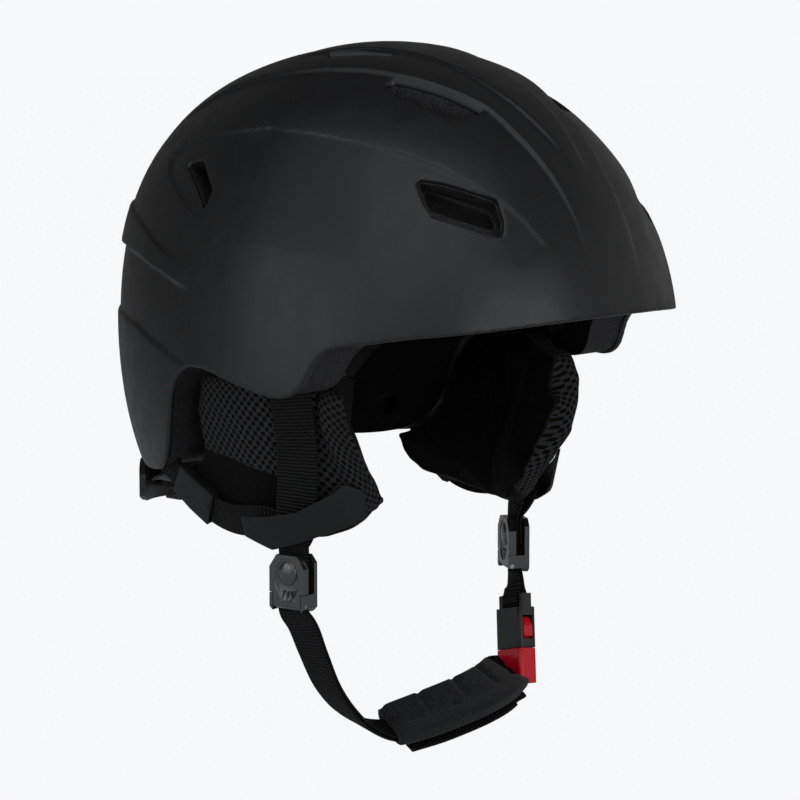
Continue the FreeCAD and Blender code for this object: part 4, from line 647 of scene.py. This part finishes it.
# --- Ear pads ---
@dataclass
class EarPad:
    """One ear pad: a stuffed pillow with spacer mesh outside and on its rim, and fleece inside.

    Its upper front corner is opened: over the length swing before the hinge it goes from the pad's own
    curl to a flatter bow, and it moves by forward, and its upper edge by upward.
    """
    side: Side
    reach: float = 0.0990
    slope: float = 0.33
    bow_centre: float = 0.015
    flat_bow: float = 2.4
    curl: tuple = (0.002, 0.0045, 0.000108)
    middle: tuple = (0.012, -0.036)
    mesh_depth: float = 0.0165
    forward: float = -0.003
    upward: float = 0.003
    hinge: float = -0.022
    swing: float = 0.014
    open_low: float = -0.072
    open_height: float = 0.062
    strap_half: float = 0.008
    strap_press: float = 0.0004
    puff: float = 0.0010
    seam: float = 0.0009
    seam_depth: float = 0.008
    seam_width: float = 0.0011
    seam_low: float = -0.062
    seam_slant: float = 0.30
    seam_through: tuple = (-0.027, -0.019)
    welt: float = 0.0008
    welt_width: float = 0.0012
    rim_low: float = -0.068
    rim_front: float = -0.024
    raised_above: float = -0.022
    raised_before: float = 0.016
    # the front strap's middle line, as depth below the origin and y
    strap_line: tuple = ((0.0, -0.0185), (0.026, -0.0165), (0.060, -0.011), (0.080, -0.006))
    # the mesh's lower edge, as y and z
    mesh_edge: tuple = ((-0.045, -0.074), (-0.030, -0.066), (-0.020, -0.055), (-0.001, -0.043),
                        (0.022, -0.037), (0.045, -0.034), (0.062, -0.026))
    stuffing: Stuffing = Stuffing(0.004, 0.0012, 0.004, 2)

    def outer(self, y: np.ndarray, z: np.ndarray) -> np.ndarray:
        """Return |x| of the pad's outer plane, which leans in downwards and curls in at both ends."""
        away = (y - self.bow_centre) / MM
        rear, front, cubed = self.curl
        curl = np.where(away > 0, rear * away ** 2, front * away ** 2 - cubed * away ** 3)
        return self.reach + self.slope * z - curl * MM

    def pressed(self, y: np.ndarray, z: np.ndarray, inward: np.ndarray) -> np.ndarray:
        """Return depths that stay under the front strap, and beside it puff out a little at most."""
        strap_y = np.interp(-z, *zip(*self.strap_line))
        under = bell(np.maximum(0.0, np.abs(y - strap_y) - self.strap_half), self.strap_half / 2)
        return np.maximum(inward, under * self.strap_press - (1 - under) * self.puff)

    def opening(self, y: np.ndarray, z: np.ndarray) -> np.ndarray:
        """Return how far each point is opened, from 0 to 1."""
        front = ramped(self.hinge - y, self.swing)
        high = ramped(z - self.open_low, self.open_height)
        return eased(front) * eased(high)

    def seam_at(self, y: np.ndarray, z: np.ndarray) -> np.ndarray:
        """Return how near each point is to the seam before the strap, which slants, from 0 to 1."""
        seam_y, seam_z = self.seam_through
        from_seam = y - seam_y + self.seam_slant * (seam_z - z)
        return bell(from_seam, self.seam_width) * (z > self.seam_low)

    def zone(self, y: np.ndarray, z: np.ndarray, inward: np.ndarray) -> np.ndarray:
        """Return 1 where the pad shows mesh, above a curved edge and on the front rim, and 0 elsewhere."""
        above = ramped(z - np.interp(y, *zip(*self.mesh_edge)), 0.0012)
        rim = ramped(self.rim_front - y, 0.004) * (z > self.rim_low)
        return np.maximum(above, rim) * ramped(self.mesh_depth - inward, 0.0008)

    def build(self, finishes: dict) -> None:
        """Stuff the pad, hold it flat under the strap, open its upper front corner and sew its seams."""
        tag = self.side.tag
        nodes = tuple("ear_pad_%s_%s" % (part, tag) for part in ("cover", "cushion", "carrier"))
        mesh = self.stuffing.inflate(joined_copy(*nodes))
        points = points_of(mesh)
        y, z = points[:, 1], points[:, 2]  # views: a change to them moves the points
        inward = self.pressed(y, z, self.outer(y, z) - np.abs(points[:, 0]))
        welt = bell(inward - self.mesh_depth, self.welt_width)
        inward = inward + self.seam * self.seam_at(y, z) * (inward < self.seam_depth)
        opened = self.opening(y, z)
        flat = self.reach + self.slope * z - self.flat_bow * (y - self.bow_centre) ** 2
        outer = self.outer(y, z) * (1 - opened) + flat * opened
        points[:, 0] = self.side.value * (outer - inward)
        y -= self.forward * opened
        z += self.upward * ramped(z - self.raised_above, 0.018) * ramped(self.raised_before - y, 0.022)
        set_points(mesh, points)
        swell(mesh, (self.welt * welt)[:, None])
        spoke = unit(np.column_stack([y - self.middle[0], z - self.middle[1]]))
        set_uv(mesh, np.column_stack([y, z]) + spoke * np.clip(inward, 0.0, 0.03)[:, None])
        layer = mesh.attributes.new("zone", "FLOAT", "POINT")
        layer.data.foreach_set("value", self.zone(y, z, inward))
        pad = new_piece("ear_pad_" + tag, mesh, finishes["mesh"], nodes)


@dataclass
class ComfortPads:
    """The fleece pads that line the liner and the nape."""
    nodes: tuple = ("brow_pad", "crown_pad", "side_pad_right", "side_pad_left", "nape_pad")
    stuffing: Stuffing = Stuffing()

    def build(self, finishes: dict) -> None:
        """Stuff each pad."""
        for node in self.nodes:
            mesh = self.stuffing.inflate(joined_copy(node))
            pad = new_piece(node + "_soft", mesh, finishes["fleece"], (node,))


# --- Harness ---
@dataclass(frozen=True)
class Divider:
    """Where a strap divider hangs, and the way that its straps face, with -Y at 0 and +X at 90."""
    centre: tuple
    turn: float

    @property
    def facing(self) -> np.ndarray:
        """Return the level direction of its outer layer."""
        turn = math.radians(self.turn)
        return np.array([math.sin(turn), -math.cos(turn), 0.0])


@dataclass
class Harness:
    """The webbing: front and rear straps, the chin strap and the loop round the buckle's bar."""
    webbing: float = 0.0016
    layer_gap: float = 0.0003
    narrow: float = 0.0144
    front_width: float = 0.0180
    rear_width: float = 0.0150
    chin_width: float = 0.0150
    divider_half: float = 0.0125
    leaving: float = 0.0145
    lift: float = 0.0006
    sewn_thickness: float = 0.96
    sewn_gap: float = 0.4
    right: Divider = Divider((-0.0762, -0.0070, -0.0901), -82.0)
    left: Divider = Divider((0.0762, -0.0026, -0.0934), 57.0)
    # routes over the ear pad, as y, z and the layers of webbing out to the strap
    front_route: tuple = ((-0.020, 0.014, 1.0), (-0.019, 0.002, 1.0), (-0.018, -0.010, 1.0),
                          (-0.0165, -0.026, 1.0), (-0.014, -0.044, 1.6), (-0.011, -0.060, 2.4),
                          (-0.0095, -0.067, 2.6))
    rear_route: tuple = ((-0.0045, -0.0705, 1.0), (-0.0005, -0.066, 1.0), (0.006, -0.0643, 1.1),
                         (0.014, -0.065, 1.2), (0.026, -0.0655, 1.6), (0.038, -0.0625, 1.8),
                         (0.048, -0.0565, 1.8), (0.057, -0.0495, 1.8))
    rear_top: tuple = ((0.0845, 0.065, -0.041), (0.0845, 0.070, -0.031))
    rear_lean: tuple = (0.15, -0.1)
    chin_exits: tuple = (0.001, 0.014)
    loop_exits: tuple = (0.0015, 0.0135)
    chin_route: tuple = (((-0.073, -0.0075, -0.108), (-1, -0.14, -0.1)),
                         ((-0.066, -0.008, -0.122), (-0.95, -0.1, -0.3)),
                         ((-0.056, -0.008, -0.140), (-0.85, 0, -0.5)),
                         ((-0.045, -0.008, -0.152), (-0.7, 0.1, -0.7)),
                         ((-0.033, -0.0085, -0.1605), (-0.5, 0.25, -0.8)))
    pad_route: tuple = (((-0.020, -0.012, -0.165), (-0.1, 0.4, -0.9)),
                        ((0.0, -0.020, -0.160), (0.1, 0.45, -0.87)),
                        ((0.022, -0.025, -0.155), (0.1, 0.45, -0.87)),
                        ((0.039, -0.022, -0.153), (0.1, 0.45, -0.87)),
                        ((0.0528, -0.0161, -0.1521), (0.1, 0.4, -0.87)))
    # the buckle's mouth, its axes, and the male half's end from the mouth by across, up and facing
    mouth: tuple = (0.0680, -0.0108, -0.1416)
    buckle_up: tuple = (0.18, 0.195, 0.96)
    buckle_facing: tuple = (0.94, -0.34, 0.0)
    male_end: tuple = (0.003, 0.0083, 0.0054)
    male_tail: float = 0.0035
    bar_height: float = 0.0230
    bar_reach: float = 0.0021
    above_bar: float = 0.0065

    @property
    def half_sewn(self) -> float:
        """Return how far each of two sewn layers is from their middle."""
        return (self.webbing + self.layer_gap * self.sewn_gap) / 2

    def over_pad(self, side: Side, rows: tuple) -> list:
        """Return the places and normals of a route over one side's ear pad."""
        pad = EarPad(side)
        y, z, layers = np.array(rows).T
        lift = self.layer_gap + self.webbing * (layers - 0.5) + self.lift * layers
        centres = np.column_stack([side.value * (pad.outer(y, z) + lift), y, z])
        step = 0.0005
        curl = (pad.outer(y - step, z) - pad.outer(y + step, z)) / (2 * step)
        normals = [(side.value, slope, -pad.slope) for slope in curl]
        return list(zip(centres, unit(np.array(normals))))

    def stacked(self, divider: Divider, way: int) -> np.ndarray:
        """Return the centre of the divider's outer or inner layer of webbing, as way is 1 or -1."""
        return divider.centre + divider.facing * way * (self.webbing + self.layer_gap) / 2

    def front(self, side: Side, divider: Divider) -> Ribbon:
        """Return the front strap, from its anchor to the divider."""
        stacked = self.stacked(divider, 1)
        leave = stacked + divider.facing * self.layer_gap + (0, 0, self.leaving)
        ends = (leave, stacked + (0, 0, self.divider_half), stacked)
        stations = self.over_pad(side, self.front_route) + [(place, divider.facing) for place in ends]
        widths = [self.front_width] * len(self.front_route) + [self.narrow] * len(ends)
        return Ribbon.through(stations, widths, self.webbing)

    def rear(self, side: Side, divider: Divider) -> Ribbon:
        """Return the rear strap, from the divider to its anchor."""
        stacked = self.stacked(divider, -1)
        stations = [(stacked + (0, 0, up), divider.facing) for up in (0, self.divider_half, self.leaving)]
        stations += self.over_pad(side, self.rear_route)
        top_normal = unit(np.array([side.value, *self.rear_lean]))
        stations += [(np.array(place) * (side.value, 1, 1), top_normal) for place in self.rear_top]
        widths = [self.narrow] * 3 + [self.rear_width] * (len(stations) - 3)
        return Ribbon.through(stations, widths, self.webbing)

    def doubled(self, name: str, ribbon: Ribbon) -> Mesh:
        """Return two layers of webbing that lie on each other along one route."""
        layers = []
        thickness = self.webbing * self.sewn_thickness
        for way in (-1, 1):
            shift = unit(ribbon.normals) * (way * self.half_sewn)
            layer = Ribbon(ribbon.centres + shift, ribbon.normals, ribbon.widths, thickness)
            layers.append(layer.mesh(name))
        return merged(name, layers)

    def chin(self) -> Ribbon:
        """Return the right chin strap's middle line, through the pad to the buckle's male half."""
        up, across, facing = self.buckle_axes()
        across_by, up_by, facing_by = self.male_end
        end = np.array(self.mouth) - across * across_by - up * up_by - facing * facing_by
        last = self.pad_route[-1][1]
        centre = np.array(self.right.centre)
        stations = [(centre - (0, 0, down), self.right.facing) for down in self.chin_exits]
        stations += self.chin_route + self.pad_route
        stations += [(end - facing * self.male_tail, last), (end, last)]
        widths = [self.narrow] * 2 + [self.chin_width] * (len(stations) - 2)
        return Ribbon.through(stations, widths, self.webbing)

    def buckle_axes(self) -> tuple[np.ndarray, np.ndarray, np.ndarray]:
        """Return the buckle's up, its width direction and its outward direction."""
        up = unit(np.array(self.buckle_up))
        facing = np.array(self.buckle_facing)
        facing = unit(facing - up * facing.dot(up))
        return up, np.cross(facing, up), facing

    def loop(self) -> Ribbon:
        """Return the left strap: down from the divider, round the buckle's bar and up again."""
        up, _, facing = self.buckle_axes()
        bar = np.array(self.mouth) + up * self.bar_height
        reach = self.bar_reach + self.webbing / 2
        legs = []
        for way in (1, -1):
            outer = self.left.facing * way
            leaf = self.left.centre + outer * self.half_sewn
            low = bar + facing * (way * self.half_sewn) + up * self.above_bar
            legs.append([(leaf - (0, 0, down), outer) for down in self.loop_exits] + [(low, facing * way)])
        turned = []
        for degrees in range(40, -221, -20):
            angle = math.radians(degrees)
            spoke = facing * math.cos(angle) + up * math.sin(angle)
            turned.append((bar + spoke * reach, spoke))
        stations = legs[0] + turned + legs[1][::-1]
        return Ribbon.through(stations, self.narrow, self.webbing * self.sewn_thickness, 0.0008, 2)

    def build(self, finishes: dict) -> None:
        """Weave every strap."""
        woven = {}
        for side, divider in ((Side.RIGHT, self.right), (Side.LEFT, self.left)):
            for stem, strap in (("front", self.front), ("rear", self.rear)):
                node = "%s_strap_%s" % (stem, side.tag)
                woven[node] = strap(side, divider).mesh(node)
        woven["chin_strap_right"] = self.doubled("chin_strap", self.chin())
        woven["chin_strap_left"] = self.loop().mesh("loop_strap")
        for node, mesh in woven.items():
            new_piece(node + "_webbing", mesh, finishes["webbing"], (node,))


@dataclass
class ChinPad:
    """The padded sleeve on the chin strap and the flap under it."""
    width: float = 0.0235
    thickness: float = 0.0098
    bow: float = 0.0022
    tunnel: tuple = (0.0158, 0.0040)
    drawn_in: float = 0.22
    drawn_over: float = 0.003
    quilts: int = 4
    puff: float = 0.0019
    puff_width: float = 2.2
    stitch: float = 0.0010
    seam_bow: float = 0.012
    sunk: float = 0.0004
    dip: float = 0.0006
    border: float = 0.22
    hem: float = 0.0015
    flap_width: float = 0.0200
    flap_thickness: float = 0.0013
    flap_drop: float = 0.0056
    flap_forward: float = 0.0025
    flap_tip: float = 0.003
    flap_beyond: float = 0.28

    def quilting(self, side: np.ndarray, lift: np.ndarray, at: np.ndarray) -> np.ndarray:
        """Return how far the skin is raised, for each distance along and each point of the section.

        The face towards the chin is raised between stitched seams, which cross the pad in slight curves
        at even distances and run along it at the border; the seam at the border dips all along.
        """
        half = self.width / 2
        share = at[:, None] / at[-1]
        crossing = np.min([np.abs(share - number / self.quilts - self.seam_bow * side ** 2)
                           for number in range(self.quilts + 1)], axis=0) * at[-1]
        border = np.abs(side - self.border) * half
        edge = (side + 1.0) * half + self.hem
        nearest = np.minimum(np.minimum(crossing, border), edge)
        inner = lift < -0.3
        puffed = self.puff * (1 - bell(nearest / self.stitch, self.puff_width)) - self.sunk
        dipped = -self.dip * bell(border, self.stitch) * inner
        return np.where(inner & (side < self.border + 0.02), puffed, dipped)

    def sleeve(self, route: tuple) -> Mesh:
        """Return the sleeve: an outer skin and the tunnel inside it, joined round both ends."""
        line = Ribbon.through(route, self.width, self.thickness, 0.0007, 12)
        centres, normals, _, at = line.sampled()
        axes = line.axes(centres, normals)
        side, lift = rounded_section(96, 4)
        ends = 1 - self.drawn_in * bell(np.minimum(at, at[-1] - at), self.drawn_over)
        height = (lift * self.thickness / 2 * ends[:, None]
                  + np.sign(lift) * self.quilting(side, lift, at) - self.bow * side ** 2)
        side = side * self.width / 2
        hole, roof = rounded_section(96, 6)
        inner = swept(centres, axes, hole * self.tunnel[0] / 2, roof * self.tunnel[1] / 2)
        grid = np.concatenate([swept(centres, axes, side, height), inner[::-1]])
        uv = np.stack(np.broadcast_arrays(side, at[:, None]), axis=-1)
        return grid_mesh("chin_sleeve", grid, np.concatenate([uv, uv[::-1]]), rows_join=True)

    def flap(self, route: tuple) -> Mesh:
        """Return the flap: a thin strip under the sleeve whose front edge runs on into a point."""
        centres = np.array([place for place, _ in route])
        normals = unit(np.array([normal for _, normal in route]))
        start = centres[0] * 0.7 + centres[1] * 0.3
        last = (centres[-2] + centres[-1]) / 2
        tip = centres[-1] + (centres[-1] - centres[-2]) * self.flap_beyond
        centres = np.vstack([start, centres[1:-1], last, tip])
        normals = np.vstack([normals, normals[-1]])
        widths = np.array([self.flap_width] * (len(centres) - 1) + [self.flap_tip])
        across = unit(np.cross(normals, np.gradient(centres, axis=0)))
        forward = self.flap_forward + (self.flap_width - widths) / 2
        moved = centres + normals * self.flap_drop + across * forward[:, None]
        return Ribbon(moved, normals, widths, self.flap_thickness, 0.0012, 4).mesh("flap")

    def build(self, finishes: dict, harness: Harness) -> None:
        """Sew the sleeve and its flap."""
        route = harness.pad_route
        pad = new_piece("chin_pad_sleeve", self.sleeve(route), finishes["quilt"],
                        ("chin_pad",))
        new_piece("chin_pad_flap_cloth", self.flap(route), finishes["webbing"],
                  ("chin_pad_flap",))


# --- Camera, light and floor ---
@dataclass
class Studio:
    """Plain studio: pale floor, soft lamps and the camera."""
    turn: float = -47.502
    rise: float = 7.705
    distance: float = 1.500
    lens: float = 150.5
    offset: tuple = (0.000389, 0.018441)
    floor_gap: float = 0.004
    floor_reach: float = 6.0
    floor_glow: float = 0.985
    sides: float = 0.44
    above: float = 0.13
    rising: tuple = (0.1, 0.8)
    behind: float = 0.25
    receding: tuple = (-0.3, 0.7)
    tint: tuple = (0.94, 0.97, 1.0)
    # name, place, power in watts and size
    lamps: tuple = (("front", (-0.30, -1.30, 0.00), 4.6, 1.1), ("right", (-1.20, 0.45, 0.10), 1.8, 1.0),
                    ("key", (-1.15, 0.05, 0.95), 5.5, 2.2), ("top", (-0.7, -0.6, 1.2), 3.0, 1.4))
    aim: tuple = (0.0, 0.0, 0.02)

    def build(self) -> None:
        """Set up the camera, the lamps, the world and the floor."""
        scene = bpy.context.scene
        scene.view_settings.view_transform = "Standard"
        a, e = math.radians(self.turn), math.radians(self.rise)
        back = Vector((math.sin(a) * math.cos(e), -math.cos(a) * math.cos(e), math.sin(e)))
        right = Vector((math.cos(a), math.sin(a), 0.0))
        up = back.cross(right)
        target = -self.offset[0] * right - self.offset[1] * up
        lens = bpy.data.cameras.new("camera")
        lens.lens = self.lens
        lens.sensor_width = 36.0
        camera = bpy.data.objects.new("camera", lens)
        turned = Matrix((right, up, back)).transposed().to_4x4()
        camera.matrix_world = Matrix.Translation(target + back * self.distance) @ turned
        scene.collection.objects.link(camera)
        scene.camera = camera
        self.light()
        self.surround()
        self.floor()

    def light(self) -> None:
        """Add the soft lamps: before the brow, low and high at the wearer's right, and above."""
        for name, place, power, size in self.lamps:
            data = bpy.data.lights.new(name, "AREA")
            data.energy = power
            data.size = size
            data.color = self.tint
            lamp = bpy.data.objects.new(name, data)
            lamp.location = place
            way = Vector(self.aim) - lamp.location
            lamp.rotation_euler = way.to_track_quat("-Z", "Y").to_euler()
            bpy.context.scene.collection.objects.link(lamp)

    def surround(self) -> None:
        """Make the surroundings white to the camera, and softly lit for the object."""
        world = bpy.data.worlds.new("studio")
        world.use_nodes = True
        bpy.context.scene.world = world
        nodes = Nodes(world.node_tree)
        way = nodes.add("SeparateXYZ", {0: nodes.add("TexCoord").outputs["Generated"]})
        sky = nodes.span(way.outputs["Z"], *self.rising, self.sides, self.above, "LINEAR")
        rear = nodes.span(way.outputs["Y"], *self.receding, 1.0, self.behind, "LINEAR")
        seen = nodes.add("LightPath").outputs["Is Camera Ray"]
        ground = world.node_tree.nodes["Background"]
        nodes.set(ground.inputs["Color"], PALE)
        nodes.set(ground.inputs["Strength"],
                  nodes.span(seen, 0.0, 1.0, nodes.maths("MULTIPLY", sky, rear), 1.0, "LINEAR"))

    def floor(self) -> None:
        """Lay a pale floor just under the lowest strap."""
        height = CAD_BOX[0][2] - self.floor_gap
        mesh = bpy.data.meshes.new("floor")
        reach = self.floor_reach
        corners = ((-reach, -reach), (reach, -reach), (reach, reach), (-reach, reach))
        mesh.from_pydata([(*corner, height) for corner in corners], [], [(0, 1, 2, 3)])
        desk = Desk("floor")
        desk.dress(Base_Color=desk.ramp(desk.noise(3.0), (0.86, 0.865, 0.875), (0.88, 0.885, 0.895)),
                   Roughness=0.9, Specular_IOR_Level=0.1)
        glow = desk.add("Emission", {"Color": PALE, "Strength": 1.0})
        paths = desk.add("LightPath")
        share = desk.maths("MULTIPLY", paths.outputs["Is Camera Ray"], self.floor_glow)
        mix = desk.add("MixShader", {0: share, 1: desk.shader.outputs[0], 2: glow.outputs[0]})
        desk.set(desk.tree.nodes["Material Output"].inputs["Surface"], mix.outputs[0])
        mesh.materials.append(desk.material)
        floor = bpy.data.objects.new("floor", mesh)
        bpy.context.scene.collection.objects.link(floor)


# --- Rigid pieces that stay as they are built ---
@dataclass
class RigidParts:
    """The moulded and metal nodes, dressed and with their edges eased."""
    sharp: float = 35.0
    # finish, nodes, and how much of an edge is eased
    groups: tuple = (
        ("foam", ("impact_liner",), 0.0),
        ("rubber", ("strap_sleeve_right", "strap_sleeve_left",
                    "strap_guide_right", "strap_guide_left"), 0.0006),
        ("gloss", ("divider_body_right", "divider_body_left", "divider_lever_right",
                   "divider_lever_left"), 0.0004),
        ("satin", ("nape_cradle", "dial_housing", "dial_cover", "fit_dial",
                   "rack_right", "rack_left", "headband_arm_right", "headband_arm_left"), 0.0004),
        ("satin", ("dial_pinion", "ear_pad_studs_right", "ear_pad_studs_left"), 0.0),
        ("satin", ("buckle_female",), 0.0009),
        ("red", ("buckle_male", "prong_front", "prong_rear"), 0.0007),
        ("steel", ("strap_rivets", "divider_pins", "dial_screw"), 0.0),
    )

    def build(self, finishes: dict) -> None:
        """Dress each node, and ease the edges of those that show."""
        for finish, nodes, edge in self.groups:
            for node in nodes:
                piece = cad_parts[node]
                for slot in piece.material_slots:
                    slot.material = finishes[finish]
                if not piece.material_slots:
                    piece.data.materials.append(finishes[finish])
                if edge:
                    weld = piece.modifiers.new("Weld", "WELD")
                    weld.merge_threshold = WELD
                    bevel = piece.modifiers.new("Bevel", "BEVEL")
                    bevel.width = edge
                    bevel.segments = 2
                    bevel.limit_method = "ANGLE"
                    bevel.angle_limit = math.radians(self.sharp)
                LOG.info("%s: %s", node, finish)


def main() -> None:
    """Build every sub-assembly in order and report it."""
    logging.basicConfig(level=logging.INFO, format="%(name)s %(message)s")
    finishes = {name: finish.build() for name, finish in FINISHES.items()}
    Studio().build()
    Shell().build(finishes)
    RigidParts().build(finishes)
    EarPad(Side.RIGHT).build(finishes)
    EarPad(Side.LEFT, forward=0.014, upward=0.010, hinge=-0.017, swing=0.026).build(finishes)
    ComfortPads().build(finishes)
    harness = Harness()
    harness.build(finishes)
    ChinPad().build(finishes, harness)


if __name__ == "__main__":
    main()
